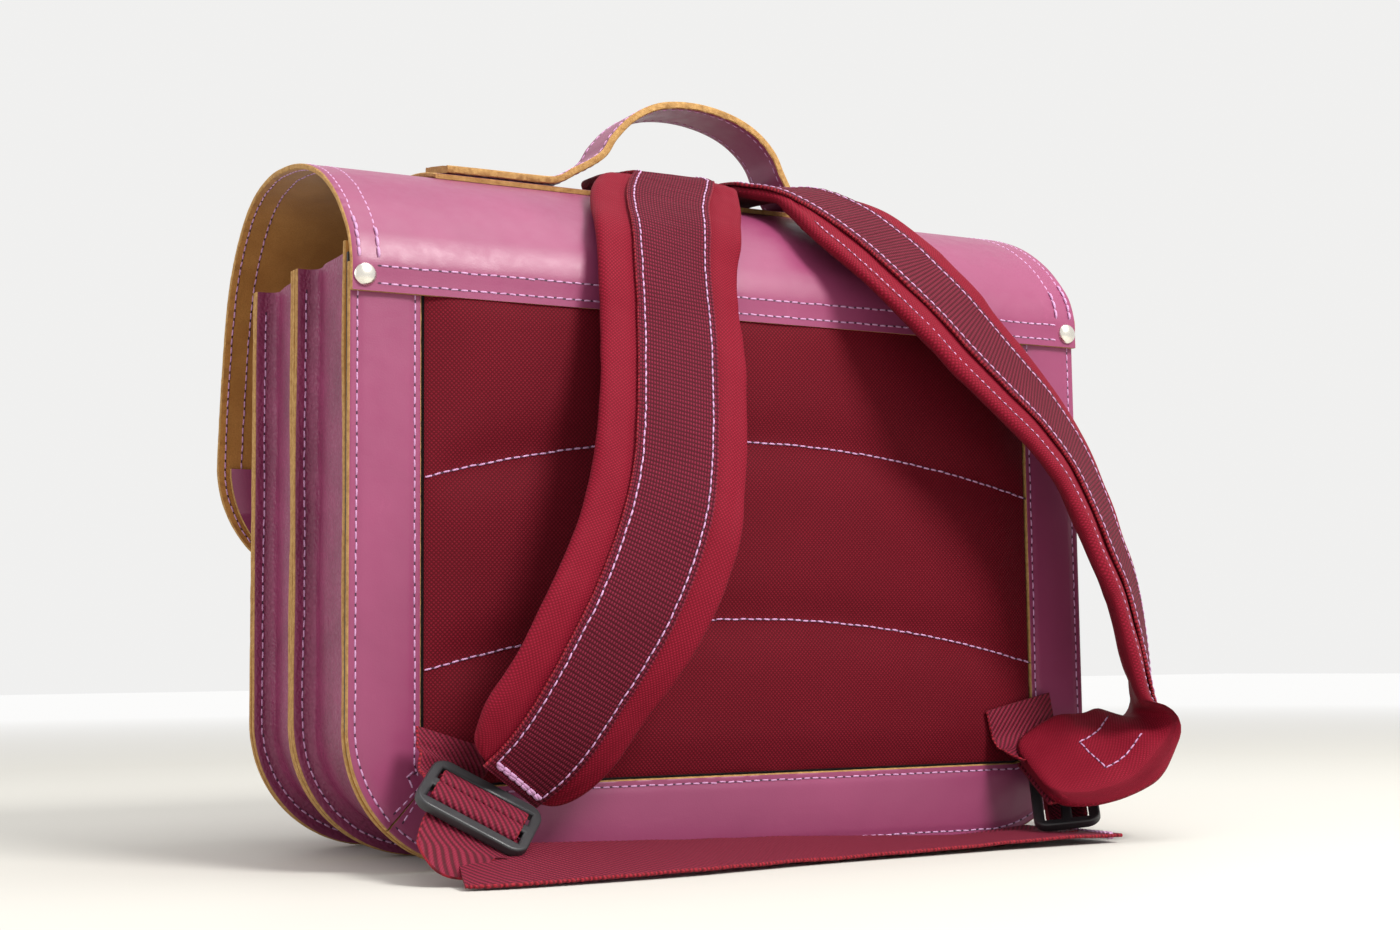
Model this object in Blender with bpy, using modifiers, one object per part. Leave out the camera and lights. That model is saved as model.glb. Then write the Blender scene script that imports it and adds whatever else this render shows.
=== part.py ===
"""Two-compartment leather satchel worn as a backpack.

+Z is up, -Y is the front with the flap and the closures, +Y is the padded side
that lies on the wearer's back, and +X is the wearer's right.  The origin is the
middle of the divider panel's bottom edge, which stands on the floor.
All lengths are in metres.
"""
import math

import bmesh
import bpy
from mathutils import Matrix, Vector

# ---------------------------------------------------------------- driving sizes
WIDTH = 0.370                 # outside width of the body
HALF = WIDTH / 2
BODY_TOP = 0.255              # top edge of the panels and gussets
CORNER_R = 0.058              # radius of the body's bottom corners
GAP = 0.0003                  # room left between pieces that touch
LEATHER = 0.0026              # panels and gussets
FRAME_T = 0.0030              # leather frame on the back
BOARD_T = 0.0020              # stiffener board
FLAP_T = 0.0024               # flap leather
WEB_T = 0.0015                # woven webbing
WEB_W = 0.038                 # width of the webbing
FLANGE = 0.0108               # how far the gusset webs stand in from the edge
BEND_R = 0.0025               # fold radius between gusset web and flange

DIVIDER_Y = 0.0               # middle of the divider panel
REAR_FLANGE_Y = 0.0681        # middle of the rear gusset's rear flange
FRONT_FLANGE_Y = -0.0578      # middle of the front gusset's front flange
FLANGE_OFF = LEATHER + GAP    # flange middle to the middle of the next panel

FRAME_RAIL = 0.0312           # width of the back frame's side rails
WINDOW_X = HALF - FRAME_RAIL
WINDOW_Z = 0.0333             # bottom edge of the back window
WINDOW_R = 0.012

POCKET_HALF = 0.150
POCKET_FLOOR = 0.014
POCKET_TOP = 0.165
POCKET_CORNER = 0.040
POCKET_FLANGE = 0.009
POCKET_FRONT_Y = -0.1065      # middle of the pocket gusset's front flange

FLAP_CORNER = 0.060           # radius of the flap's lower corners
FLAP_BOTTOM = 0.121
HINGE_Y = -0.045              # where the flap bends when it is lifted
HINGE_Z = 0.3048

RIVET_X = 0.1792
RIVET_Z = 0.240
RIVET_HOLE = 0.0016

HANDLE_Y = 0.001              # middle of the handle strip
HANDLE_W = 0.028
HANDLE_T = 0.0031
HANDLE_PIVOT_Z = 0.3240
TONGUE_T = 0.0028
PLATE_T = 0.0020

PAD_W = 0.070                 # shoulder pad
PAD_T = 0.0072
SWING_GAP = 0.0006            # gap at that bend
STRAP_STATIONS = 47
PAD_CLEAR = 0.0012            # room under the webbing, so a twisted strap stays clear
HEAD_T = 0.0064
SWING_Y = 0.022               # where the shoulder straps bend over the top

STRAP_X = 0.085               # middle of each front closure
CLOSE_W = 0.025
CLOSE_T = 0.0021
MAGNET_Z = 0.042
MAGNET_R = 0.009
MAGNET_T = 0.0027
BAR_Z = 0.080                 # buckle bar that the prong turns on
BAR_Y = -0.1205
WIRE_R = 0.0013               # buckle wire
FREE_SIDE_Y = -0.1282         # buckle side that the prong's tip rests on
FREE_SIDE_Z = 0.106
BUCKLE_HALF = 0.0172
PRONG_R = 0.0009
PRONG_EYE = 0.0026            # outside radius of the prong's ring
TAB_T = 0.0018
KEEPER_T = 0.0014
KEEPER_Z = 0.058
TIP_TOP = 0.1206
TIP_END = 0.028

LOCK_T = 0.0040
LOCK_LEN = 0.030
LOCK_W = 0.048
LOCK_BAR = 0.005              # width of the lock's outer bars
SLOT_MIDDLE = 0.0062                # slot centre from the lock's middle
SLOT_HALF_W = 0.0198
SLOT_HALF_H = 0.0037


# ---------------------------------------------------------------- scene helpers
for old in list(bpy.data.objects):
    bpy.data.objects.remove(old, do_unlink=True)

PARTS = bpy.data.collections.new("satchel")
CUTTERS = bpy.data.collections.new("cutters")
bpy.context.scene.collection.children.link(PARTS)
bpy.context.scene.collection.children.link(CUTTERS)


def material(name, colour, roughness, metallic=0.0):
    """A plain Principled material."""
    mat = bpy.data.materials.new(name)
    mat.use_nodes = True
    shader = mat.node_tree.nodes["Principled BSDF"]
    shader.inputs["Base Color"].default_value = (*colour, 1.0)
    shader.inputs["Roughness"].default_value = roughness
    shader.inputs["Metallic"].default_value = metallic
    return mat


ORCHID = (0.43, 0.09, 0.24)
PLUM = (0.30, 0.05, 0.16)
BURGUNDY = (0.30, 0.02, 0.05)
WINE = (0.17, 0.012, 0.035)
CHARCOAL = (0.03, 0.03, 0.035)
NICKEL = (0.75, 0.73, 0.70)


def place(obj, colour, roughness=0.55, metallic=0.0, smooth=40):
    """Put an object in the parts collection with its own material."""
    PARTS.objects.link(obj)
    obj.data.materials.append(material(obj.name + "_mat", colour, roughness, metallic))
    if obj.type == "MESH":
        obj.data.shade_smooth()
        obj.data.set_sharp_from_angle(angle=math.radians(smooth))
    return obj


def hide_cutter(obj):
    """A cutter is never part of the model."""
    CUTTERS.objects.link(obj)
    obj.hide_render = True
    obj.display_type = "WIRE"
    return obj


def cut(obj, cutter):
    """Take the cutter's shape out of obj."""
    mod = obj.modifiers.new("cut_" + cutter.name, "BOOLEAN")
    mod.operation = "DIFFERENCE"
    mod.solver = "EXACT"
    mod.object = cutter


def box_cutter(name, low, high):
    """A box-shaped cutter between two corners."""
    bm = bmesh.new()
    bmesh.ops.create_cube(bm, size=1.0)
    size = [b - a for a, b in zip(low, high)]
    middle = [(a + b) / 2 for a, b in zip(low, high)]
    bmesh.ops.scale(bm, vec=size, verts=bm.verts)
    bmesh.ops.translate(bm, vec=middle, verts=bm.verts)
    mesh = bpy.data.meshes.new(name)
    bm.to_mesh(mesh)
    bm.free()
    return hide_cutter(bpy.data.objects.new(name, mesh))


def hole_cutter(name, x, z, radius, y_low, y_high):
    """A round cutter along Y."""
    bm = bmesh.new()
    bmesh.ops.create_cone(bm, cap_ends=True, segments=16, radius1=radius,
                          radius2=radius, depth=y_high - y_low)
    bmesh.ops.rotate(bm, matrix=Matrix.Rotation(math.pi / 2, 3, "X"), verts=bm.verts)
    bmesh.ops.translate(bm, vec=(x, (y_low + y_high) / 2, z), verts=bm.verts)
    mesh = bpy.data.meshes.new(name)
    bm.to_mesh(mesh)
    bm.free()
    return hide_cutter(bpy.data.objects.new(name, mesh))


def pivot(name, spot, pieces):
    """Hang moving pieces on an empty that stands on their joint's axis."""
    empty = bpy.data.objects.new(name + "_pivot", None)
    empty.location = spot
    CUTTERS.objects.link(empty)
    for piece in pieces:
        piece.parent = empty
        piece.matrix_parent_inverse = Matrix.Translation(-Vector(spot))


# ---------------------------------------------------------------- flat pieces
def circle(x, z, radius, count=16):
    """Points round a circle."""
    turn = [2 * math.pi * i / count for i in range(count)]
    return [(x + radius * math.cos(a), z + radius * math.sin(a)) for a in turn]


def arc(x, z, radius, start, end, count=8):
    """Points along an arc, angles in degrees."""
    angles = [math.radians(start + (end - start) * i / count) for i in range(count + 1)]
    return [(x + radius * math.cos(a), z + radius * math.sin(a)) for a in angles]


def tub_outline(half, floor, top, radius, count=8):
    """A panel with square top corners and round bottom corners."""
    points = [(half, top)]
    points += arc(half - radius, floor + radius, radius, 0, -90, count)
    points += arc(-half + radius, floor + radius, radius, -90, -180, count)
    points.append((-half, top))
    return points


def panel(name, outline, y_low, y_high, colour, holes=(), **look):
    """A flat piece standing in the XZ plane, cut from an outline."""
    curve = bpy.data.curves.new(name, "CURVE")
    curve.dimensions = "2D"
    curve.fill_mode = "BOTH"
    curve.extrude = (y_high - y_low) / 2
    for points in [outline, *holes]:
        spline = curve.splines.new("POLY")
        spline.points.add(len(points) - 1)
        for target, (x, z) in zip(spline.points, points):
            target.co = (x, z, 0, 1)
        spline.use_cyclic_u = True
    obj = bpy.data.objects.new(name, curve)
    obj.rotation_euler = (math.pi / 2, 0, 0)
    obj.location = (0, (y_low + y_high) / 2, 0)
    return place(obj, colour, **look)


# ---------------------------------------------------------------- curved sheets
def sheet(name, surface, rows, columns, thickness, colour, offset=0.0, **look):
    """An open grid mapped by surface(u, v), thickened with Solidify."""
    bm = bmesh.new()
    bmesh.ops.create_grid(bm, x_segments=columns, y_segments=rows, size=0.5)
    for vert in bm.verts:
        vert.co = surface(vert.co.x + 0.5, vert.co.y + 0.5)
    mesh = bpy.data.meshes.new(name)
    bm.to_mesh(mesh)
    bm.free()
    obj = bpy.data.objects.new(name, mesh)
    solid = obj.modifiers.new("thickness", "SOLIDIFY")
    solid.thickness = thickness
    solid.offset = offset
    solid.use_even_offset = True
    return place(obj, colour, **look)


def along(points, t):
    """The point at t (0 to 1) of a broken line, its vertices evenly spaced in t."""
    place_on = min(max(t, 0.0), 1.0) * (len(points) - 1)
    index = min(int(place_on), len(points) - 2)
    share = place_on - index
    return points[index].lerp(points[index + 1], share)


def smooth_line(points, count):
    """A Catmull-Rom curve through points, with evenly spaced samples."""
    pts = [Vector(p) for p in points]
    pts = [2 * pts[0] - pts[1], *pts, 2 * pts[-1] - pts[-2]]
    dense = []
    for a, b, c, d in zip(pts, pts[1:], pts[2:], pts[3:]):
        for i in range(16):
            t = i / 16
            dense.append(0.5 * (2 * b + (c - a) * t + (2 * a - 5 * b + 4 * c - d) * t ** 2
                                + (3 * b - a - 3 * c + d) * t ** 3))
    dense.append(pts[-2])
    lengths = [0.0]
    for a, b in zip(dense, dense[1:]):
        lengths.append(lengths[-1] + (b - a).length)
    out = []
    index = 0
    for i in range(count):
        goal = lengths[-1] * i / (count - 1)
        while index < len(dense) - 2 and lengths[index + 1] < goal:
            index += 1
        span = lengths[index + 1] - lengths[index]
        out.append(dense[index].lerp(dense[index + 1], (goal - lengths[index]) / span))
    return out


def channel_section(inset, front, rear, radius=BEND_R):
    """Middle line of a gusset's section: (distance in from the edge, y)."""
    section = [(0.0, rear), (inset - radius, rear)]
    for i in range(1, 4):
        a = math.pi / 2 * i / 3
        section.append((inset - radius + radius * math.sin(a), rear - radius + radius * math.cos(a)))
    for i in range(1, 4):
        section.append((inset, rear - radius + (front + radius - rear + radius) * i / 4))
    for i in range(0, 3):
        a = math.pi / 2 * i / 3
        section.append((inset - radius + radius * math.cos(a), front + radius - radius * math.sin(a)))
    section += [(inset - radius, front), (0.0, front)]
    return [Vector((a, b, 0)) for a, b in section]


def tub_path(half, floor, top, radius, inset, t):
    """A point on the U-shaped path that lies inset from a panel's edge."""
    corner = math.pi / 2 * radius
    drop = top - floor - radius
    base = 2 * (half - radius)
    stops = [0.0, drop, drop + corner, drop + corner + base]
    stops += [stops[3] + corner, stops[3] + corner + drop]
    goal = t * stops[5]
    small = radius - inset
    if goal <= stops[1]:
        return half - inset, top - goal
    if goal <= stops[2]:
        a = -(goal - stops[1]) / radius
        return half - radius + small * math.cos(a), floor + radius + small * math.sin(a)
    if goal <= stops[3]:
        return half - radius - (goal - stops[2]), floor + inset
    if goal <= stops[4]:
        a = -math.pi / 2 - (goal - stops[3]) / radius
        return -half + radius + small * math.cos(a), floor + radius + small * math.sin(a)
    return -half + inset, floor + radius + (goal - stops[4])


def gusset(name, half, floor, top, radius, inset, front, rear, colour, arc_count=8):
    """A U-shaped channel whose flanges turn outward against two panels."""
    section = channel_section(inset, front, rear)
    drop = top - floor - radius
    corner = math.pi / 2 * radius
    base = 2 * (half - radius)
    total = 2 * drop + 2 * corner + base
    stops = [0.0, drop / 2]
    stops += [drop + corner * i / arc_count for i in range(arc_count + 1)]
    stops += [drop + corner + base / 2]
    stops += [drop + corner + base + corner * i / arc_count for i in range(arc_count + 1)]
    stops += [total - drop / 2, total]
    rows = len(stops) - 1

    def surface(u, v):
        row = along(section, u)
        t = stops[round(v * rows)] / total
        x, z = tub_path(half, floor, top, radius, row.x, t)
        return x, row.y, z

    return sheet(name, surface, rows, len(section) - 1, LEATHER, colour)


# ---------------------------------------------------------------- swept strips
def frames(route, widths, count):
    """Evenly spaced centres, width directions and normals along a route."""
    centres = smooth_line(route, count)
    out = []
    steps = len(widths) - 1
    lengths = [0.0]
    for a, b in zip(route, route[1:]):
        lengths.append(lengths[-1] + (Vector(b) - Vector(a)).length)
    for i, centre in enumerate(centres):
        ahead = centres[min(i + 1, count - 1)]
        behind = centres[max(i - 1, 0)]
        tangent = (ahead - behind).normalized()
        goal = lengths[-1] * i / (count - 1)
        k = max(j for j in range(steps) if lengths[j] <= goal + 1e-9)
        share = (goal - lengths[k]) / (lengths[k + 1] - lengths[k])
        across = Vector(widths[k]).lerp(Vector(widths[k + 1]), min(share, 1.0))
        across = (across - across.dot(tangent) * tangent).normalized()
        out.append((centre, across, across.cross(tangent).normalized(), tangent))
    return out


def sweep(name, stations, half_width, low, high, colour, rim=4, extra=(), **look):
    """A closed strip; half_width, low and high are functions of t (0 to 1).

    low and high are distances from the centre line along the normal, and extra
    holds more points across the upper face, from its first edge to its second.
    """
    bm = bmesh.new()
    rings = []
    last = len(stations) - 1
    for i, (centre, across, normal, _) in enumerate(stations):
        t = i / last
        half = half_width(t)
        bottom = low(t)
        top = high(t)
        mid = (bottom + top) / 2
        deep = (top - bottom) / 2
        round_in = min(deep, half * 0.5)
        ring = []
        for side in (1, -1):
            for j in range(rim + 1):
                a = math.pi / 2 - math.pi * j / rim
                w = side * (half - round_in + round_in * math.cos(a))
                n = mid + side * deep * math.sin(a)
                ring.append(bm.verts.new(centre + across * w + normal * n))
        for w in reversed(extra):
            ring.append(bm.verts.new(centre + across * w + normal * top))
        rings.append(ring)
    count = len(rings[0])
    for a, b in zip(rings, rings[1:]):
        for j in range(count):
            k = (j + 1) % count
            bm.faces.new((a[j], a[k], b[k], b[j]))
    bm.faces.new(list(reversed(rings[0])))
    bm.faces.new(rings[-1])
    bmesh.ops.recalc_face_normals(bm, faces=bm.faces)
    mesh = bpy.data.meshes.new(name)
    bm.to_mesh(mesh)
    bm.free()
    return place(bpy.data.objects.new(name, mesh), colour, **look)


def constant(value):
    """A function of t that never changes."""
    return lambda t: value


def tapered(value, end, share=0.12, start=None):
    """Half width that narrows in a round end over the last share of the strip."""
    first = value if start is None else start

    def width(t):
        near = first + (value - first) * min(t / 0.12, 1.0)
        if t <= 1 - share:
            return near
        s = (t - (1 - share)) / share
        return end + (value - end) * math.sqrt(max(1 - s * s, 0.0))

    return width


def ribbon(name, route, widths, count, width, thickness, colour, **look):
    """A flat strip of webbing or leather, a rectangle in section."""
    stations = frames(route, widths, count)
    bm = bmesh.new()
    rings = []
    for centre, across, normal, _ in stations:
        ring = []
        for w, n in ((1, 1), (-1, 1), (-1, -1), (1, -1)):
            ring.append(bm.verts.new(centre + across * w * width / 2 + normal * n * thickness / 2))
        rings.append(ring)
    for a, b in zip(rings, rings[1:]):
        for j in range(4):
            k = (j + 1) % 4
            bm.faces.new((a[j], a[k], b[k], b[j]))
    bm.faces.new(list(reversed(rings[0])))
    bm.faces.new(rings[-1])
    bmesh.ops.recalc_face_normals(bm, faces=bm.faces)
    mesh = bpy.data.meshes.new(name)
    bm.to_mesh(mesh)
    bm.free()
    return place(bpy.data.objects.new(name, mesh), colour, smooth=30, **look)


# ---------------------------------------------------------------- flap profile
# Outside of the flap seen from the side as (y, z), from the band on the back
# over the top to the lower edge in front.
FLAP_PROFILE = [
    (0.0777, 0.2335), (0.0777, 0.2400), (0.0777, 0.2460), (0.0755, 0.2545), (0.0710, 0.2625),
    (0.0580, 0.2765), (0.0400, 0.2890), (0.0200, 0.2975), (0.0000, 0.3025), (-0.0200, 0.3050),
    (-0.0380, 0.3055), (-0.0600, 0.3020), (-0.0780, 0.2935), (-0.0940, 0.2790), (-0.1050, 0.2620),
    (-0.1120, 0.2400), (-0.1180, 0.2100), (-0.1220, 0.1810), (-0.1236, 0.1500), (-0.1240, FLAP_BOTTOM),
]
PROFILE_SAMPLES = smooth_line([(0.0, y, z) for y, z in FLAP_PROFILE], 241)


def profile_normal(index):
    """Outward normal of the flap at a profile sample."""
    a = PROFILE_SAMPLES[max(index - 1, 0)]
    b = PROFILE_SAMPLES[min(index + 1, len(PROFILE_SAMPLES) - 1)]
    step = (b - a).normalized()
    return Vector((0, step.z, -step.y))


def profile_at_y(y):
    """Index of the sample on the top of the bag nearest to y."""
    options = range(20, 200)
    return min(options, key=lambda i: abs(PROFILE_SAMPLES[i].y - y))


def profile_at_z(z):
    """Index of the sample on the front of the flap nearest to z."""
    options = range(140, len(PROFILE_SAMPLES))
    return min(options, key=lambda i: abs(PROFILE_SAMPLES[i].z - z))


def lifted(index, x, lift):
    """A point lift above the flap's outside."""
    base = PROFILE_SAMPLES[index] + profile_normal(index) * lift
    return Vector((x, base.y, base.z))


def on_flap(start, end, lift, half_width, middle=0.0):
    """Surface function for a sheet that follows the flap's outside."""

    def surface(u, v):
        spot = start + (end - start) * v
        index = min(int(spot), len(PROFILE_SAMPLES) - 2)
        share = spot - index
        x = middle + (2 * u - 1) * half_width(v)
        return lifted(index, x, lift).lerp(lifted(index + 1, x, lift), share)

    return surface


def flap_half_width(z):
    """Half width of the flap: full, then a round corner down to the lower edge."""
    up = FLAP_BOTTOM + FLAP_CORNER - z
    if up <= 0:
        return HALF
    depth = min(up / FLAP_CORNER, 1.0)
    return HALF - FLAP_CORNER * (1 - math.sqrt(max(1 - depth * depth, 0.0)))


# ---------------------------------------------------------------- body panels
def build_body():
    """Divider, gussets, front panel, stiffener and back frame."""
    body = dict(half=HALF, floor=0.0, radius=CORNER_R)
    tub = tub_outline(HALF, 0.0, BODY_TOP, CORNER_R)
    panel("divider_panel", tub, DIVIDER_Y - LEATHER / 2, DIVIDER_Y + LEATHER / 2, PLUM)
    rear = gusset("rear_gusset", top=BODY_TOP, inset=FLANGE, front=DIVIDER_Y + FLANGE_OFF,
                  rear=REAR_FLANGE_Y, colour=PLUM, **body)
    gusset("front_gusset", top=BODY_TOP, inset=FLANGE, front=FRONT_FLANGE_Y,
           rear=DIVIDER_Y - FLANGE_OFF, colour=PLUM, **body)
    front_y = FRONT_FLANGE_Y - FLANGE_OFF
    panel("front_panel", tub, front_y - LEATHER / 2, front_y + LEATHER / 2, ORCHID)

    board_y = REAR_FLANGE_Y + LEATHER / 2 + GAP
    holes = [circle(side * RIVET_X, RIVET_Z, RIVET_HOLE) for side in (1, -1)]
    board = tub_outline(HALF - 0.0006, 0.0006, 0.2500, CORNER_R)
    panel("back_stiffener", board, board_y, board_y + BOARD_T, CHARCOAL, holes, roughness=0.8)

    frame_y = board_y + BOARD_T + GAP
    for side, name in ((1, "right"), (-1, "left")):
        panel("back_frame_" + name, frame_rail(side), frame_y, frame_y + FRAME_T, ORCHID,
              [circle(side * RIVET_X, RIVET_Z, RIVET_HOLE)], roughness=0.4)
    panel("back_frame_bottom", frame_sill(), frame_y, frame_y + FRAME_T, ORCHID, roughness=0.4)

    for side, name in ((1, "right"), (-1, "left")):
        cutter = hole_cutter("gusset_hole_" + name, side * RIVET_X, RIVET_Z, RIVET_HOLE,
                             REAR_FLANGE_Y - LEATHER, REAR_FLANGE_Y + LEATHER)
        cut(rear, cutter)
    return frame_y


def corner_arc(side, first, last, inner, count=4):
    """Part of the frame's inner or outer corner, angles down from the side."""
    radius = WINDOW_R if inner else CORNER_R
    x0 = (WINDOW_X - WINDOW_R) if inner else (HALF - CORNER_R)
    z0 = (WINDOW_Z + WINDOW_R) if inner else CORNER_R
    points = arc(x0, z0, radius, first, last, count)
    return [(side * x, z) for x, z in points]


def frame_rail(side):
    """Side rail of the back frame, from the top to the mitre."""
    outer = [(side * HALF, 0.2455)] + corner_arc(side, 0, -44.5, False)
    inner = corner_arc(side, -44, 0, True) + [(side * WINDOW_X, 0.2455)]
    return outer + inner


def frame_sill():
    """Bottom strip of the back frame between the two mitres."""
    right_outer = corner_arc(1, -45.5, -90, False)
    left_outer = list(reversed(corner_arc(-1, -45.5, -90, False)))
    left_inner = corner_arc(-1, -48, -90, True)
    right_inner = list(reversed(corner_arc(1, -48, -90, True)))
    return right_outer + left_outer + left_inner + right_inner


# ---------------------------------------------------------------- back padding
def quilt(x, z):
    """Height of the quilted cover above its edge, three soft channels."""
    arch = 0.016 * (1 - (x / WINDOW_X) ** 2)
    low_seam = 0.088 + arch
    high_seam = 0.160 + arch
    rise = 1.0
    for seam in (low_seam, high_seam):
        rise *= 1 - math.exp(-((z - seam) / 0.010) ** 2)
    edge_x = min((WINDOW_X - abs(x)) / 0.018, 1.0)
    edge_z = min((z - WINDOW_Z) / 0.018, (0.2300 - z) / 0.018, 1.0)
    edge = max(min(edge_x, edge_z), 0.0)
    return 0.0034 * math.sin(edge * math.pi / 2) * (0.25 + 0.75 * rise)


def build_back_pad(frame_y):
    """Foam slab and its quilted cover inside the back window."""
    half = WINDOW_X - 0.0005
    low = WINDOW_Z + 0.0005
    high = 0.2440
    foam = tub_outline(half - 0.002, low + 0.002, high - 0.001, WINDOW_R)
    panel("back_pad_foam", foam, frame_y + 0.0001, frame_y + 0.0011, (0.5, 0.5, 0.5), roughness=0.9)
    cover_y = frame_y + 0.0011 + GAP + 0.0006

    def surface(u, v):
        z = low + (high - low) * v
        up = min((z - low) / WINDOW_R, 1.0)
        wide = half - WINDOW_R * (1 - math.sqrt(max(1 - (1 - up) ** 2, 0.0)))
        x = (2 * u - 1) * wide
        return -x, cover_y + quilt(x, z), z

    sheet("back_pad_cover", surface, 18, 12, 0.0010, BURGUNDY, roughness=0.8)


# ---------------------------------------------------------------- front pocket
def build_pocket():
    """Shallow pocket on the front panel, under the flap."""
    rear_y = FRONT_FLANGE_Y - FLANGE_OFF - FLANGE_OFF
    gusset("front_pocket_gusset", POCKET_HALF, POCKET_FLOOR, POCKET_TOP, POCKET_CORNER,
           POCKET_FLANGE, POCKET_FRONT_Y, rear_y, PLUM, arc_count=6)
    tub = tub_outline(POCKET_HALF, POCKET_FLOOR, POCKET_TOP, POCKET_CORNER, 6)
    front_y = POCKET_FRONT_Y - FLANGE_OFF
    panel("front_pocket_panel", tub, front_y - LEATHER / 2, front_y + LEATHER / 2, ORCHID)
    return front_y - LEATHER / 2


# ---------------------------------------------------------------- flap
def build_flap():
    """Fixed rear cover and the part of the flap that lifts."""
    hinge = profile_at_y(HINGE_Y)
    rear = sheet("flap_rear_cover", on_flap(0, hinge - 0.1, -FLAP_T / 2, constant(HALF)),
                 26, 2, FLAP_T, ORCHID, roughness=0.4)
    for side, name in ((1, "right"), (-1, "left")):
        cut(rear, hole_cutter("cover_hole_" + name, side * RIVET_X, RIVET_Z, RIVET_HOLE,
                              0.0740, 0.0790))

    last = len(PROFILE_SAMPLES) - 1
    corner = profile_at_z(FLAP_BOTTOM + FLAP_CORNER)
    straight = 16
    round_rows = 10
    stops = [hinge + 0.1 + (corner - hinge - 0.1) * i / straight for i in range(straight + 1)]
    for i in range(1, round_rows + 1):
        depth = math.sin(math.pi / 2 * i / round_rows)
        z = FLAP_BOTTOM + FLAP_CORNER * (1 - depth)
        stops.append(corner + (last - corner) * (PROFILE_SAMPLES[corner].z - z)
                     / (PROFILE_SAMPLES[corner].z - FLAP_BOTTOM))
    rows = len(stops) - 1

    def surface(u, v):
        spot = stops[round(v * rows)]
        index = min(int(spot), last - 1)
        share = spot - index
        base = lifted(index, 0, -FLAP_T / 2).lerp(lifted(index + 1, 0, -FLAP_T / 2), share)
        half = flap_half_width(base.z) if v < 1 else HALF - FLAP_CORNER
        return (2 * u - 1) * half, base.y, base.z

    front = sheet("flap_front", surface, rows, 2, FLAP_T, ORCHID, roughness=0.4)

    facing_lift = -FLAP_T - GAP - 0.0008
    facing = sheet("flap_facing", on_flap(corner + 2, last - 2, facing_lift,
                                          lambda v: flap_half_width(0.181 - 0.060 * v) - 0.006),
                   10, 2, 0.0016, ORCHID, roughness=0.4)
    return [front, facing]


def build_rivets(frame_y):
    """Domed nickel rivets through cover, frame, board and gusset flange."""
    outside = frame_y + FRAME_T + GAP + FLAP_T + GAP
    inside = REAR_FLANGE_Y - LEATHER / 2 - GAP
    shank = RIVET_HOLE - GAP
    profile = [(0.0, outside + 0.0024), (0.0020, outside + 0.0022), (0.0036, outside + 0.0015),
               (0.0046, outside + 0.0006), (0.0048, outside), (shank, outside),
               (shank, inside), (0.0021, inside), (0.0021, inside - 0.0008), (0.0, inside - 0.0010)]
    for side, name in ((1, "right"), (-1, "left")):
        mesh = bpy.data.meshes.new("rivet_" + name)
        points = [(r, 0, y) for r, y in profile]
        mesh.from_pydata(points, [(i, i + 1) for i in range(len(points) - 1)], [])
        obj = bpy.data.objects.new("rivet_" + name, mesh)
        screw = obj.modifiers.new("turn", "SCREW")
        screw.axis = "Z"
        screw.steps = 20
        screw.render_steps = 20
        screw.use_merge_vertices = True
        screw.merge_threshold = 0.00005
        obj.rotation_euler = (-math.pi / 2, 0, 0)
        obj.location = (side * RIVET_X, 0, RIVET_Z)
        place(obj, NICKEL, 0.25, 1.0)


# ---------------------------------------------------------------- top handle
HANDLE_LINE = [          # middle line of the arch and its feet, (x, z)
    (0.0500, 0.3098), (0.0418, 0.3190), (0.0352, 0.3285), (0.0262, 0.3380), (0.0150, 0.3448),
    (0.0040, 0.3478), (-0.0100, 0.3484), (-0.0240, 0.3464), (-0.0358, 0.3424), (-0.0450, 0.3366),
    (-0.0520, 0.3290), (-0.0566, 0.3195), (-0.0588, 0.3098),
]


def build_handle():
    """Base plate, two sewn feet and the arched grip."""
    plate_from = profile_at_y(0.018)
    plate_to = profile_at_y(-0.016)
    plate_lift = GAP + PLATE_T / 2
    sheet("handle_plate", on_flap(plate_from, plate_to, plate_lift, constant(0.125)),
          6, 2, PLATE_T, ORCHID, roughness=0.4)

    foot_z = lifted(profile_at_y(HANDLE_Y), 0, GAP + PLATE_T + GAP + TONGUE_T / 2).z + 0.0009
    feet = {
        "right": [(0.1190, foot_z), (0.0900, foot_z), (0.0700, foot_z + 0.0002),
                  (0.0600, foot_z + 0.0008), (0.0515, 0.3083)],
        "left": [(-0.1190, foot_z), (-0.0900, foot_z), (-0.0720, foot_z),
                 (-0.0650, foot_z + 0.0004), (-0.0596, 0.3086)],
    }
    lean = profile_normal(profile_at_y(HANDLE_Y))
    across = Vector((0, lean.z, -lean.y))
    for name, line in feet.items():
        route = [(x, HANDLE_Y, z) for x, z in line]
        flat = [tuple(across)] * 4 + [(0, 1, 0)]
        ribbon("handle_foot_" + name, route, flat, 12, HANDLE_W, TONGUE_T, ORCHID, roughness=0.4)

    route = [(x, HANDLE_Y, z) for x, z in HANDLE_LINE]
    stations = frames(route, [(0, 1, 0)] * len(route), 34)

    def half_width_at(centre):
        down = max(HANDLE_PIVOT_Z - centre.z, 0.0)
        return math.sqrt(max((HANDLE_W / 2) ** 2 - down ** 2, 0.0)) + 0.0004

    last = len(stations) - 1
    widths = [min(half_width_at(s[0]), HANDLE_W / 2) for s in stations]
    grip = sweep("handle_grip", stations, lambda t: widths[round(t * last)],
                 constant(-HANDLE_T / 2), constant(HANDLE_T / 2), ORCHID, rim=2, roughness=0.4)
    pivot("handle", (0, HANDLE_Y, HANDLE_PIVOT_Z), [grip])


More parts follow.
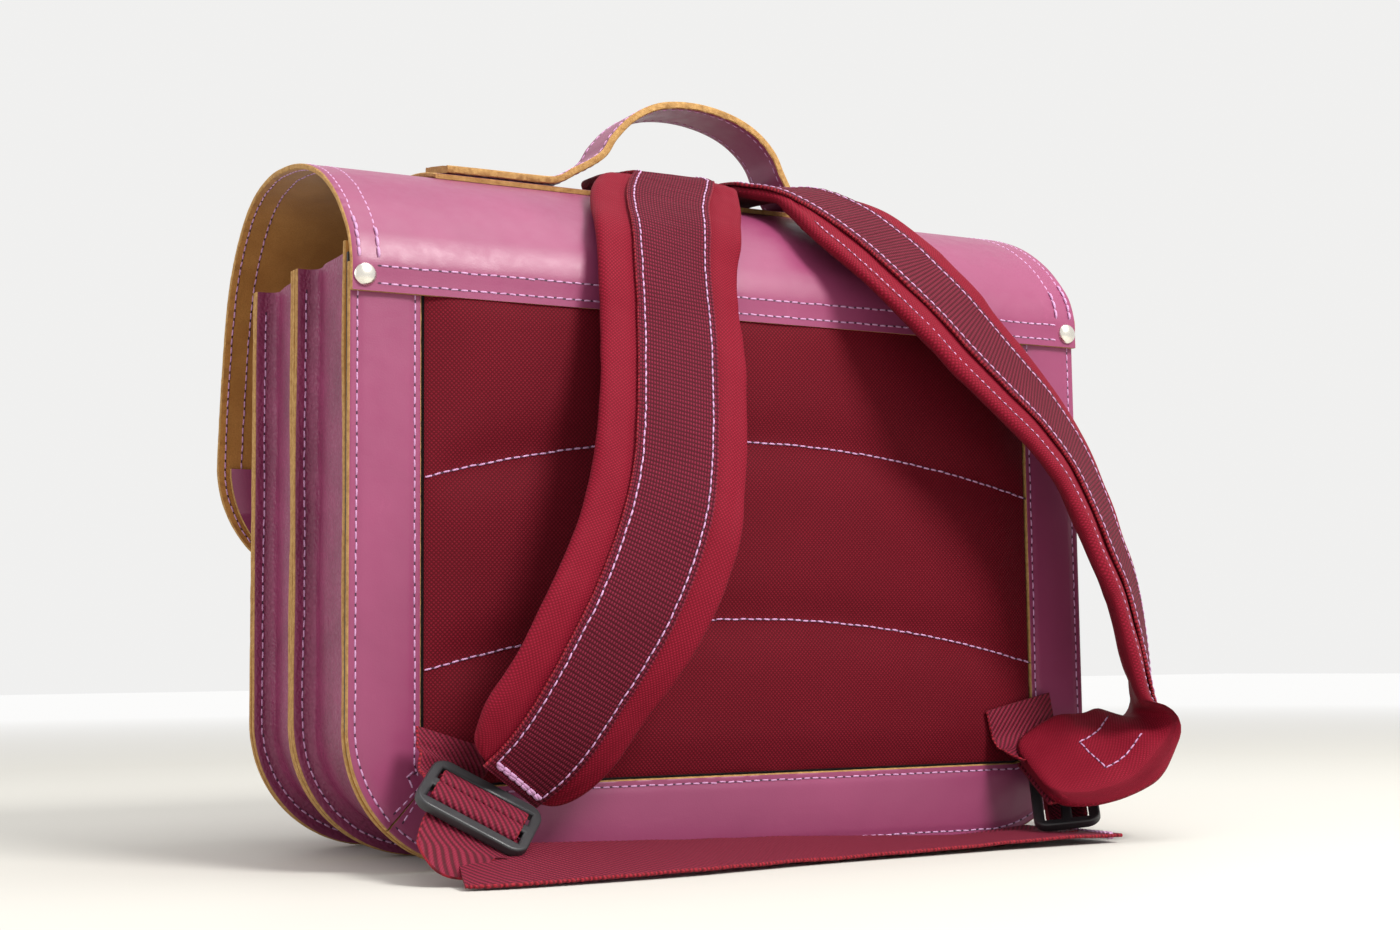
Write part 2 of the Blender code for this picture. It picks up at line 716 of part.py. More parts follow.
# ---------------------------------------------------------------- shoulder straps
# Each route follows the outer face's middle; each direction points across the
# strap, from its edge on the bag's middle to its outer edge.
RIGHT_ROUTE = [
    (0.0100, -0.0160, 0.3155), (0.0100, 0.0040, 0.3145), (0.0110, 0.0220, 0.3117),
    (0.0122, 0.0300, 0.3090), (0.0200, 0.0440, 0.3030), (0.0320, 0.0620, 0.2895),
    (0.0400, 0.0800, 0.2720),
    (0.0449, 0.0912, 0.2494), (0.0478, 0.0995, 0.2267), (0.0519, 0.1080, 0.2044),
    (0.0564, 0.1160, 0.1821), (0.0609, 0.1220, 0.1622), (0.0664, 0.1265, 0.1447),
    (0.0747, 0.1290, 0.1242), (0.0847, 0.1295, 0.1036), (0.0937, 0.1275, 0.0871),
    (0.1024, 0.1240, 0.0715), (0.1109, 0.1190, 0.0560), (0.1195, 0.1130, 0.0434),
    (0.1285, 0.1070, 0.0339),
]
RIGHT_ACROSS = [
    (1.0, 0.0, 0.0), (1.0, 0.0, 0.0), (1.0, 0.0, 0.0), (1.0, 0.0, -0.02), (0.98, 0.10, -0.12),
    (0.96, 0.15, -0.20), (0.97, 0.15, -0.20), (0.98, 0.13, -0.13), (0.99, 0.08, -0.13), (0.99, 0.07, -0.12),
    (1.0, 0.04, -0.05), (1.0, 0.0, 0.03), (0.99, -0.06, 0.07), (0.98, -0.05, 0.14),
    (0.98, 0.0, 0.21), (0.94, 0.09, 0.33), (0.89, 0.20, 0.40), (0.80, 0.28, 0.52),
    (0.73, 0.38, 0.56), (0.69, 0.47, 0.55),
]
LEFT_ROUTE = [
    (-0.0383, -0.0160, 0.3155), (-0.0383, 0.0040, 0.3145), (-0.0383, 0.0220, 0.3117),
    (-0.0390, 0.0300, 0.3095), (-0.0490, 0.0460, 0.3050), (-0.0620, 0.0640, 0.2925),
    (-0.0745, 0.0805, 0.2755),
    (-0.0825, 0.0912, 0.2622), (-0.0965, 0.0995, 0.2452), (-0.1075, 0.1035, 0.2320),
    (-0.1259, 0.1065, 0.2136), (-0.1424, 0.1075, 0.1985), (-0.1590, 0.1090, 0.1775),
    (-0.1701, 0.1115, 0.1540), (-0.1772, 0.1130, 0.1352), (-0.1843, 0.1135, 0.1194),
    (-0.1888, 0.1140, 0.1016), (-0.1935, 0.1130, 0.0818), (-0.1965, 0.1120, 0.0650),
    (-0.1945, 0.1125, 0.0520), (-0.1825, 0.1130, 0.0430), (-0.1640, 0.1110, 0.0345),
    (-0.1475, 0.1065, 0.0285), (-0.1330, 0.1010, 0.0245),
]
LEFT_ACROSS = [
    (-1.0, 0.0, 0.0), (-1.0, 0.0, 0.0), (-1.0, 0.0, 0.0), (-1.0, -0.05, 0.02), (-0.90, -0.35, 0.20),
    (-0.80, -0.48, 0.36), (-0.75, -0.51, 0.43), (-0.69, -0.52, 0.50), (-0.67, -0.52, 0.53), (-0.63, -0.53, 0.57),
    (-0.65, -0.57, 0.50), (-0.66, -0.60, 0.45), (-0.70, -0.63, 0.35), (-0.71, -0.64, 0.29),
    (-0.74, -0.66, 0.20), (-0.72, -0.67, 0.18), (-0.70, -0.69, 0.14), (-0.66, -0.73, 0.12),
    (-0.58, -0.75, 0.28), (-0.50, -0.75, 0.44), (-0.45, -0.70, 0.56), (-0.45, -0.68, 0.58),
    (-0.47, -0.70, 0.54), (-0.49, -0.73, 0.48),
]


def outward(stations, hint):
    """Turn every normal to the side that hint names at the first station."""
    if stations[0][2].dot(Vector(hint)) > 0:
        return stations
    return [(c, w, -n, t) for c, w, n, t in stations]


def build_straps():
    """Padded shoulder straps: heads on the top, pads with webbing sewn on."""
    sides = (("right", RIGHT_ROUTE, RIGHT_ACROSS, 0.0300, 0.0320),
             ("left", LEFT_ROUTE, LEFT_ACROSS, 0.0158, 0.0158))
    for name, route, across, head_half, start_half in sides:
        whole = outward(frames(route, across, STRAP_STATIONS), (0, 0, 1))
        bend = min(range(len(whole)), key=lambda i: abs(whole[i][0].y - SWING_Y) + i * 0.001)
        sweep("strap_head_" + name, whole[:bend + 1], constant(head_half), constant(-HEAD_T),
              constant(0.0), BURGUNDY, rim=3, roughness=0.8)
        centre, way, normal, tangent = whole[bend]
        stations = [(centre + tangent * SWING_GAP, way, normal, tangent)] + whole[bend + 1:]
        face = WEB_T + PAD_CLEAR
        web_half = min(WEB_W / 2, start_half - 0.001)
        pad = sweep("strap_pad_" + name, stations, tapered(PAD_W / 2, 0.012, 0.10, start_half),
                    constant(-face - PAD_T), constant(-face), BURGUNDY, 3,
                    (web_half, 0, -web_half), roughness=0.8)
        webbing = sweep("strap_webbing_" + name, stations[:-1], constant(web_half),
                        constant(-WEB_T), constant(0.0), WINE, 2, (0,), roughness=0.7)
        pivot("strap_" + name, centre, [pad, webbing])


def build_anchor_patch():
    """Leather patch that covers the front ends of the strap webbing."""
    start = profile_at_y(-0.0195)
    end = profile_at_y(-0.0420)
    sheet("strap_anchor_patch", on_flap(start, end, GAP + 0.0010, constant(0.053), -0.008),
          4, 2, 0.0020, ORCHID, roughness=0.4)


# ---------------------------------------------------------------- ladder locks
def lock_shape(name, centre, across, along_dir, colour=CHARCOAL):
    """Three-bar strap adjuster: a rounded plate with two slots."""
    curve = bpy.data.curves.new(name, "CURVE")
    curve.dimensions = "2D"
    curve.fill_mode = "BOTH"
    curve.extrude = LOCK_T / 2
    corner = 0.006
    outline = []
    half_w = LOCK_W / 2 - corner
    half_l = LOCK_LEN / 2 - corner
    for sx, sy, start in ((1, 1, 0), (-1, 1, 90), (-1, -1, 180), (1, -1, 270)):
        outline += arc(sx * half_w, sy * half_l, corner, start, start + 90, 4)
    slots = []
    for middle in (-SLOT_MIDDLE, SLOT_MIDDLE):
        slots.append([(-SLOT_HALF_W, middle - SLOT_HALF_H), (SLOT_HALF_W, middle - SLOT_HALF_H),
                      (SLOT_HALF_W, middle + SLOT_HALF_H), (-SLOT_HALF_W, middle + SLOT_HALF_H)])
    for points in [outline, *slots]:
        spline = curve.splines.new("POLY")
        spline.points.add(len(points) - 1)
        for target, (x, y) in zip(spline.points, points):
            target.co = (x, y, 0, 1)
        spline.use_cyclic_u = True
    obj = bpy.data.objects.new(name, curve)
    w = Vector(across).normalized()
    down = Vector(along_dir)
    down = (down - down.dot(w) * w).normalized()
    normal = w.cross(down)
    obj.matrix_world = Matrix.Translation(centre) @ Matrix((w, down, normal)).transposed().to_4x4()
    place(obj, colour, 0.45)
    return obj, w, down, normal


def lock_wrap(name, centre, w, down, normal):
    """Webbing folded over the adjuster's middle bar."""
    deep = LOCK_T / 2 + GAP + WEB_T / 2
    spots = [(-SLOT_MIDDLE, 0.9), (-0.0052, 1.0), (0.0, 1.0), (0.0052, 1.0), (SLOT_MIDDLE, 0.9)]
    route = [tuple(Vector(centre) + down * a + normal * deep * b) for a, b in spots]
    return ribbon(name, route, [tuple(w)] * len(route), 7, WEB_W - 0.001, WEB_T, WINE,
                  roughness=0.7)


LOCKS = {
    "right": ((0.1444, 0.1124, 0.0273), (0.790, -0.379, 0.478), (0.640, 0.619, -0.452)),
    "left": ((-0.1505, 0.1010, 0.0196), (-0.47, -0.70, 0.54), (-0.88, 0.38, 0.27)),
}


def build_locks():
    """Ladder locks with the webbing over their middle bars."""
    for name, (centre, across, down) in LOCKS.items():
        lock, w, d, normal = lock_shape("ladder_lock_" + name, centre, across, down)
        if name == "right" and normal.y < 0:
            normal = -normal
        if name == "left" and normal.z > 0:
            normal = -normal
        wrap = lock_wrap("lock_webbing_" + name, centre, w, d, normal)
        upper_bar = Vector(centre) - d * (LOCK_LEN / 2 - LOCK_BAR / 2)
        pivot("lock_" + name, upper_bar, [lock, wrap])


# ---------------------------------------------------------------- loose webbing
CORNER_WEBS = {
    "right": ([(0.1425, 0.0838, 0.0530), (0.1440, 0.0850, 0.0475), (0.1455, 0.0862, 0.0420)],
              [(0.72, 0.05, 0.69), (0.71, 0.15, 0.66), (0.71, 0.25, 0.65)]),
    "left": ([(-0.1420, 0.0796, 0.0620), (-0.1435, 0.0796, 0.0550), (-0.1450, 0.0796, 0.0480),
              (-0.1465, 0.0796, 0.0410)],
             [(-1.0, 0.0, 0.1), (-1.0, 0.0, 0.1), (-1.0, 0.0, 0.12), (-1.0, 0.0, 0.15)]),
}
TAILS = {
    "right": ([(0.1600, 0.1290, 0.0032), (0.1480, 0.1320, 0.0036), (0.1330, 0.1330, 0.0046),
               (0.0800, 0.1320, 0.0060), (0.0500, 0.1280, 0.0058), (0.0030, 0.1210, 0.0050),
               (-0.0500, 0.1180, 0.0038), (-0.0910, 0.1160, 0.0031), (-0.1250, 0.1160, 0.0030),
               (-0.1560, 0.1160, 0.0030)],
              [(-0.2, -1.0, 0.06), (-0.1, -1.0, 0.08), (0.0, -1.0, 0.10), (0.0, -1.0, 0.12),
               (0.0, -1.0, 0.14), (0.0, -1.0, 0.14), (0.0, -1.0, 0.08), (0.0, -1.0, 0.0),
               (0.0, -1.0, 0.0), (0.0, -1.0, 0.0)]),
    "left": ([(-0.1450, 0.0985, 0.0011), (-0.1000, 0.0985, 0.0011), (-0.0300, 0.0985, 0.0011),
              (0.0500, 0.0985, 0.0011), (0.0850, 0.0985, 0.0015), (0.1040, 0.0985, 0.0030)],
             [(0.0, -1.0, 0.0)] * 6),
}


def build_webbing():
    """Corner anchors and the loose tails on the floor."""
    for name, (route, across) in CORNER_WEBS.items():
        ribbon("corner_webbing_" + name, route, across, 8, WEB_W, WEB_T, WINE, roughness=0.7)
    for name, (route, across) in TAILS.items():
        ribbon("tail_webbing_" + name, route, across, 36, WEB_W, WEB_T, WINE, roughness=0.7)


# ---------------------------------------------------------------- front closures
def disc(name, x, y_low, y_high, z, radius, colour, **look):
    """A round plate that faces the front."""
    bm = bmesh.new()
    bmesh.ops.create_cone(bm, cap_ends=True, segments=24, radius1=radius, radius2=radius,
                          depth=y_high - y_low)
    mesh = bpy.data.meshes.new(name)
    bm.to_mesh(mesh)
    bm.free()
    obj = bpy.data.objects.new(name, mesh)
    obj.rotation_euler = (math.pi / 2, 0, 0)
    obj.location = (x, (y_low + y_high) / 2, z)
    return place(obj, colour, **look)


def buckle_frame(name, x):
    """Bent wire rectangle; its lower side is the bar that the prong turns on."""
    low = Vector((x, BAR_Y, BAR_Z))
    high = Vector((x, FREE_SIDE_Y, FREE_SIDE_Z))
    up = (high - low).normalized()
    tall = (high - low).length
    corner = 0.0035
    half = BUCKLE_HALF - corner
    points = []
    for sx, cz, start in ((1, tall - corner, 0), (-1, tall - corner, 90),
                          (-1, corner, 180), (1, corner, 270)):
        points += arc(sx * half, cz, corner, start, start + 90, 3)
    curve = bpy.data.curves.new(name, "CURVE")
    curve.dimensions = "3D"
    curve.bevel_depth = WIRE_R
    curve.bevel_resolution = 1
    spline = curve.splines.new("POLY")
    spline.points.add(len(points) - 1)
    for target, (px, pz) in zip(spline.points, points):
        spot = low + up * pz
        target.co = (x + px, spot.y, spot.z, 1)
    spline.use_cyclic_u = True
    return place(bpy.data.objects.new(name, curve), NICKEL, roughness=0.25, metallic=1.0)


def round_bar(name, radius, length, turn):
    """A cylinder mesh about its own middle, turned by a matrix."""
    bm = bmesh.new()
    bmesh.ops.create_cone(bm, cap_ends=True, segments=16, radius1=radius, radius2=radius,
                          depth=length)
    bmesh.ops.transform(bm, matrix=turn, verts=bm.verts)
    mesh = bpy.data.meshes.new(name)
    bm.to_mesh(mesh)
    bm.free()
    return bpy.data.objects.new(name, mesh)


def build_prong(name, x):
    """Prong with a ring round the buckle's bar; its origin is on the bar."""
    across = Matrix.Rotation(math.pi / 2, 4, "Y")
    reach = Vector((0, FREE_SIDE_Y - WIRE_R - GAP - PRONG_R - BAR_Y, FREE_SIDE_Z + 0.0002 - BAR_Z))
    start = reach.normalized() * (PRONG_EYE - 0.0003)
    shaft_len = reach.length * 1.07 - start.length
    lean = Vector((0, 0, 1)).rotation_difference(reach).to_matrix().to_4x4()
    middle = Matrix.Translation(start + reach.normalized() * shaft_len / 2)
    ring = round_bar(name, PRONG_EYE, 0.0030, across)
    shaft = hide_cutter(round_bar(name + "_shaft", PRONG_R, shaft_len, middle @ lean))
    eye = hide_cutter(round_bar(name + "_eye", WIRE_R + GAP, 0.0060, across))
    for obj in (ring, shaft, eye):
        obj.location = (x, BAR_Y, BAR_Z)
    place(ring, NICKEL, roughness=0.25, metallic=1.0)
    union = ring.modifiers.new("join_shaft", "BOOLEAN")
    union.operation = "UNION"
    union.solver = "EXACT"
    union.object = shaft
    cut(ring, eye)
    return ring


def solid_from_outline(name, outline, half_depth, turn, offset, colour, holes=(), **look):
    """A mesh prism from an outline, turned and moved into place."""
    curve = bpy.data.curves.new(name, "CURVE")
    curve.dimensions = "2D"
    curve.fill_mode = "BOTH"
    curve.extrude = half_depth
    for points in [outline, *holes]:
        spline = curve.splines.new("POLY")
        spline.points.add(len(points) - 1)
        for target, (x, y) in zip(spline.points, points):
            target.co = (x, y, 0, 1)
        spline.use_cyclic_u = True
    guide = bpy.data.objects.new(name + "_outline", curve)
    CUTTERS.objects.link(guide)
    bpy.context.view_layer.update()
    evaluated = guide.evaluated_get(bpy.context.evaluated_depsgraph_get())
    mesh = bpy.data.meshes.new_from_object(evaluated)
    bm = bmesh.new()
    bm.from_mesh(mesh)
    bmesh.ops.remove_doubles(bm, verts=bm.verts, dist=0.00001)
    bmesh.ops.transform(bm, matrix=turn, verts=bm.verts)
    bm.to_mesh(mesh)
    bm.free()
    mesh.name = name
    bpy.data.objects.remove(guide, do_unlink=True)
    obj = bpy.data.objects.new(name, mesh)
    obj.location = offset
    return place(obj, colour, **look)


SIDE_VIEW = Matrix(((0, 0, 1, 0), (1, 0, 0, 0), (0, 1, 0, 0), (0, 0, 0, 1)))


def build_tab(name, x):
    """Leather tab folded round the buckle's bar, seen from the side as a hook."""
    inner = WIRE_R + GAP
    outer = inner + TAB_T
    outline = [(-outer, -0.0135), (-outer, 0.0)]
    outline += arc(0, 0, outer, 180, 0, 8)[1:]
    outline += [(outer, -0.0475), (inner, -0.0475), (inner, 0.0)]
    outline += arc(0, 0, inner, 0, 180, 8)[1:]
    outline += [(-inner, -0.0135)]
    tab = solid_from_outline(name, outline, CLOSE_W / 2 - 0.001, SIDE_VIEW, (x, BAR_Y, BAR_Z),
                             ORCHID, roughness=0.4)
    slot = box_cutter(name + "_slot", (x - 0.0021, BAR_Y - 0.006, BAR_Z - 0.0034),
                      (x + 0.0021, BAR_Y + 0.006, BAR_Z + 0.008))
    cut(tab, slot)
    return tab


def build_keeper(name, x, y_front, y_back):
    """Leather loop that holds the strap's tip against the tab."""
    half = CLOSE_W / 2 + 0.0004
    inner = [(-half, y_front), (half, y_front), (half, y_back), (-half, y_back)]
    wall = KEEPER_T
    outer = [(-half - wall, y_front - wall), (half + wall, y_front - wall),
             (half + wall, y_back + wall), (-half - wall, y_back + wall)]
    return solid_from_outline(name, outer, 0.005, Matrix.Identity(4), (x, 0, KEEPER_Z), ORCHID,
                              [inner], roughness=0.4)


def closure(side, name, pocket_y, flap_pieces):
    """One closure: strap on the flap, tip, buckle, tab, keeper and magnets."""
    x = side * STRAP_X
    last = len(PROFILE_SAMPLES) - 1
    top = profile_at_z(0.2700)
    lift = GAP + CLOSE_T / 2

    def blunt(v):
        return CLOSE_W / 2 * min(1.0, 0.55 + v * 6)

    strap = sheet("closure_strap_" + name, on_flap(top, last - 0.2, lift, blunt, x), 18, 2, CLOSE_T,
                  ORCHID, roughness=0.4)
    flap_pieces.append(strap)

    face = FLAP_PROFILE[-1][0] - lift
    half = CLOSE_W / 2
    tip = [(x + half, TIP_TOP), (x - half, TIP_TOP), (x - half, TIP_END + 0.012)]
    tip += [(x + half * math.cos(a), TIP_END + 0.012 + 0.012 * math.sin(a))
            for a in [math.radians(180 + 180 * i / 8) for i in range(1, 8)]]
    tip.append((x + half, TIP_END + 0.012))
    slot = [(x - 0.0017, 0.0770), (x + 0.0017, 0.0770), (x + 0.0017, 0.0985), (x - 0.0017, 0.0985)]
    end = panel("closure_tip_" + name, tip, face - CLOSE_T / 2, face + CLOSE_T / 2, ORCHID, [slot],
                roughness=0.4)
    buckle = buckle_frame("buckle_frame_" + name, x)
    build_prong("buckle_prong_" + name, x)
    tab = build_tab("closure_tab_" + name, x)
    tab_back = BAR_Y + WIRE_R + GAP + TAB_T
    keeper = build_keeper("keeper_" + name, x, face - CLOSE_T / 2 - 0.0004, tab_back + GAP)
    base_y = pocket_y - GAP
    disc("magnet_base_" + name, x, base_y - MAGNET_T, base_y, MAGNET_Z, MAGNET_R, NICKEL,
         roughness=0.3, metallic=1.0)
    cap_y = base_y - MAGNET_T - GAP
    cap = disc("magnet_cap_" + name, x, cap_y - MAGNET_T, cap_y, MAGNET_Z, MAGNET_R, NICKEL,
               roughness=0.3, metallic=1.0)
    bend = (x, face - CLOSE_T / 2, (TIP_TOP + FLAP_BOTTOM) / 2)
    pivot("closure_" + name, bend, [end, buckle, tab, keeper, cap])


def build_closures(pocket_y, flap_pieces):
    """Both front closures."""
    for side, name in ((1, "right"), (-1, "left")):
        closure(side, name, pocket_y, flap_pieces)


def main():
    """Build every piece."""
    frame_y = build_body()
    build_back_pad(frame_y)
    pocket_y = build_pocket()
    flap_pieces = build_flap()
    build_rivets(frame_y)
    build_handle()
    build_straps()
    build_anchor_patch()
    build_locks()
    build_webbing()
    build_closures(pocket_y, flap_pieces)
    pivot("flap", (0, HINGE_Y, HINGE_Z), flap_pieces)


main()
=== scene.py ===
"""Looks of the satchel backpack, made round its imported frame.

Lengths are in metres, in the frame's own axes: +Z is up, +Y is the padded side
that lies on the wearer's back, and the flap closes on the -Y side.
"""
import math

import bmesh
import bpy
import numpy as np
from mathutils import Matrix, Vector, noise


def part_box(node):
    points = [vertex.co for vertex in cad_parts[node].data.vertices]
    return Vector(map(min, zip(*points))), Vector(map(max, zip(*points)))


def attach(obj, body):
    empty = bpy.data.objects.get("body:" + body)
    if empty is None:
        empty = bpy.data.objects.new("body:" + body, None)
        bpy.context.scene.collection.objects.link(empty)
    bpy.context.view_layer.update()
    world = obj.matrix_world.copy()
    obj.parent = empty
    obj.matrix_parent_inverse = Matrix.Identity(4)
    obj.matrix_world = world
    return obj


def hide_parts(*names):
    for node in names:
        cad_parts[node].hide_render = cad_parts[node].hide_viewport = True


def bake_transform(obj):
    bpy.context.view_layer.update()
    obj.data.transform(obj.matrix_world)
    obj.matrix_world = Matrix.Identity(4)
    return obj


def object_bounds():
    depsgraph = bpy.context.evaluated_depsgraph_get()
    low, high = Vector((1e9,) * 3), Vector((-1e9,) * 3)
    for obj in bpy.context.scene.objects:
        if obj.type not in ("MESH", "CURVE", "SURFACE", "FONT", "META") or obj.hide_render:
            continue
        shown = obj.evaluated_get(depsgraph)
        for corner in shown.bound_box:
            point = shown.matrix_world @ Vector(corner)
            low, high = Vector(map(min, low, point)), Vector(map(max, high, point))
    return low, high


noise.seed_set(1)                           # otherwise noise_vector starts from the clock
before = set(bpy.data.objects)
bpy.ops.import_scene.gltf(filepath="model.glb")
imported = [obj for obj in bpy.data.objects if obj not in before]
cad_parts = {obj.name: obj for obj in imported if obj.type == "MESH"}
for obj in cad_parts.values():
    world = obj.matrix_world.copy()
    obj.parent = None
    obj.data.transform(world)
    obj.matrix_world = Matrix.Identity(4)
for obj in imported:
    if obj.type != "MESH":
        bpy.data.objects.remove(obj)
CAD_LOW, CAD_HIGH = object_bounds()

# ---------------------------------------------------------------- sizes
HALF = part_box("divider_panel")[1].x         # half of the body's width
BODY_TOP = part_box("divider_panel")[1].z
CORNER_R = 0.058
LEATHER = 0.0026
FRAME_T = 0.0030
FLAP_T = 0.0024
WEB_T = 0.0015
WEB_W = 0.038
FLANGE = 0.0108
FOLD_R = 0.0062                             # soft fold between gusset web and flange
WINDOW_X = 0.1538
WINDOW_Z = 0.0333
WINDOW_R = 0.012
FRAME_TOP = 0.2455
POCKET_HALF = 0.150
POCKET_FLOOR = 0.014
POCKET_TOP = 0.165
POCKET_CORNER = 0.040
POCKET_FLANGE = 0.009
FLAP_BOTTOM = 0.121
FLAP_CORNER = 0.060
HANDLE_Y = 0.001
HANDLE_W = 0.028
HANDLE_T = 0.0034
PAD_W = 0.070
PAD_T = 0.0072
SIDES = ((1, "right"), (-1, "left"))
CLOSURE_X = 0.085
CLOSURE_W = 0.025
BAR_Y = -0.1205
BAR_Z = 0.080
FREE_SIDE_Y = -0.1282
FREE_SIDE_Z = 0.106

FINE = 0.0001
STITCH_PITCH = 0.0043
ROOT = ("root",)
FLAP_BEND = ("root", "flap", (0, -0.036, 0.3), (0, -0.056, 0.3))
HANDLE_BEND = ("root", "handle", (0, 0, 0.3095), (0, 0, 0.3240))
STRAP_BEND = {side: ("root", "strap_" + side, (0, 0.010, 0.31), (0, 0.042, 0.31))
              for _, side in SIDES}


# ---------------------------------------------------------------- materials
class Look:
    """A Principled material with short calls for its node tree."""

    def __init__(self, name, roughness, metallic=0.0, **sockets):
        self.mat = bpy.data.materials.new(name)
        self.mat.use_nodes = True
        self.tree = self.mat.node_tree
        self.shader = self.tree.nodes["Principled BSDF"]
        self.shader.inputs["Roughness"].default_value = roughness
        self.shader.inputs["Metallic"].default_value = metallic
        for key, value in sockets.items():
            self.shader.inputs[key.replace("_", " ")].default_value = value
        self.normal = None

    def node(self, kind, inputs=(), **settings):
        """A node with its settings, and values or links for its inputs."""
        made = self.tree.nodes.new(kind)
        for key, value in settings.items():
            setattr(made, key, value)
        for key, value in dict(inputs).items():
            if isinstance(value, bpy.types.NodeSocket):
                self.tree.links.new(value, made.inputs[key])
            else:
                made.inputs[key].default_value = value
        return made

    def coords(self, source="UV", scale=(1, 1, 1), turn=0.0):
        """Texture coordinates in metres, scaled and turned."""
        start = self.node("ShaderNodeTexCoord").outputs[source]
        made = self.node("ShaderNodeMapping", {"Vector": start, "Scale": scale, "Rotation": (0, 0, turn)})
        return made.outputs["Vector"]

    def noise(self, vector, scale, detail=3.0, roughness=0.55):
        made = self.node("ShaderNodeTexNoise", {"Vector": vector, "Scale": scale, "Detail": detail,
                                                "Roughness": roughness})
        return made.outputs["Fac"]

    def cells(self, vector, scale, feature="F1"):
        made = self.node("ShaderNodeTexVoronoi", {"Vector": vector, "Scale": scale}, feature=feature)
        return made.outputs["Distance"]

    def wave(self, vector, period, direction="X", distortion=0.0):
        """A sine wave of that period in metres."""
        step = 20 if direction != "DIAGONAL" else 10
        made = self.node("ShaderNodeTexWave", {"Vector": vector, "Scale": 2 * math.pi / (step * period),
                                               "Distortion": distortion},
                         bands_direction=direction)
        return made.outputs["Fac"]

    def math(self, operation, a, b):
        made = self.node("ShaderNodeMath", {0: a, 1: b}, operation=operation)
        return made.outputs[0]

    def span(self, value, low, high, to_low=0.0, to_high=1.0):
        made = self.node("ShaderNodeMapRange", {"Value": value, "From Min": low, "From Max": high,
                                                "To Min": to_low, "To Max": to_high})
        return made.outputs["Result"]

    def mix(self, share, a, b):
        """Blend of two colours."""
        made = self.node("ShaderNodeMix", data_type="RGBA")
        for index, value in ((0, share), (6, a), (7, b)):
            if isinstance(value, bpy.types.NodeSocket):
                self.tree.links.new(value, made.inputs[index])
            else:
                made.inputs[index].default_value = value if index == 0 else (*value[:3], 1.0)
        return made.outputs[2]

    def bump(self, height, depth, strength=1.0):
        """Another layer of relief, depth in metres."""
        inputs = {"Height": height, "Distance": depth, "Strength": strength}
        if self.normal is not None:
            inputs["Normal"] = self.normal
        self.normal = self.node("ShaderNodeBump", inputs).outputs["Normal"]

    def done(self, colour=None, roughness=None):
        """Join colour, roughness and relief to the shader."""
        links = self.tree.links
        if colour is not None:
            links.new(colour, self.shader.inputs["Base Color"])
        if roughness is not None:
            links.new(roughness, self.shader.inputs["Roughness"])
        if self.normal is not None:
            links.new(self.normal, self.shader.inputs["Normal"])
        return self.mat


def smooth_leather(name, light, dark, source="UV"):
    """Coated leather: nearly flat, with faint pores, cloudiness and rubbed marks."""
    look = Look(name, 0.42, Specular_IOR_Level=0.45, Coat_Weight=0.12, Coat_Roughness=0.35)
    where = look.coords(source)
    cloud = look.noise(where, 14, 3)
    pores = look.noise(where, 1300, 4, 0.6)
    rub = look.span(look.noise(look.coords(source, (1, 0.35, 1)), 90, 5, 0.7), 0.62, 0.80, 0.0, 0.35)
    colour = look.mix(look.span(cloud, 0.3, 0.7), dark, light)
    colour = look.mix(rub, colour, tuple(min(1.0, c * 1.25 + 0.02) for c in light))
    look.bump(look.noise(where, 55, 2), 0.0006, 0.35)
    look.bump(pores, 0.00012, 0.5)
    return look.done(colour, look.span(look.noise(where, 120, 4), 0.3, 0.7, 0.36, 0.50))


def pebbled_leather(name, light, dark):
    """Softer leather with a small round grain and soft creases along the gusset."""
    look = Look(name, 0.40, Specular_IOR_Level=0.5)
    where = look.coords()
    grain = look.cells(where, 780, "SMOOTH_F1")
    crease = look.noise(look.coords("UV", (1, 0.13, 1)), 210, 3, 0.6)
    colour = look.mix(look.span(look.noise(where, 30, 4), 0.3, 0.7), dark, light)
    colour = look.mix(look.span(grain, 0.25, 0.7, 0.0, 0.35), colour, dark)
    look.bump(crease, 0.0011, 0.45)
    look.bump(look.span(grain, 0.0, 0.7, 1.0, 0.0), 0.00028, 0.8)
    return look.done(colour, look.span(grain, 0.1, 0.6, 0.34, 0.52))


def raw_edge(name, light, dark):
    """Cut edge of leather: tan, fibrous, darker in streaks along its length."""
    look = Look(name, 0.85, Specular_IOR_Level=0.2)
    where = look.coords("Object")
    streak = look.noise(where, 420, 5, 0.7)
    fibre = look.noise(where, 2400, 3, 0.7)
    colour = look.mix(look.span(streak, 0.35, 0.68), dark, light)
    colour = look.mix(look.span(fibre, 0.5, 0.8, 0.0, 0.4), colour, tuple(c * 0.45 for c in dark))
    look.bump(streak, 0.0007, 0.7)
    look.bump(fibre, 0.0003, 0.7)
    return look.done(colour)


def suede(name, light, dark):
    """Flesh side of leather."""
    look = Look(name, 0.9, Sheen_Weight=0.25, Sheen_Roughness=0.5, Specular_IOR_Level=0.15)
    where = look.coords("Object")
    nap = look.noise(where, 1500, 4, 0.7)
    cloud = look.noise(where, 45, 4)
    colour = look.mix(look.span(cloud, 0.3, 0.7), dark, light)
    colour = look.mix(look.span(nap, 0.45, 0.75, 0.0, 0.45), colour, tuple(c * 0.6 for c in dark))
    look.bump(nap, 0.0003, 0.6)
    return look.done(colour)


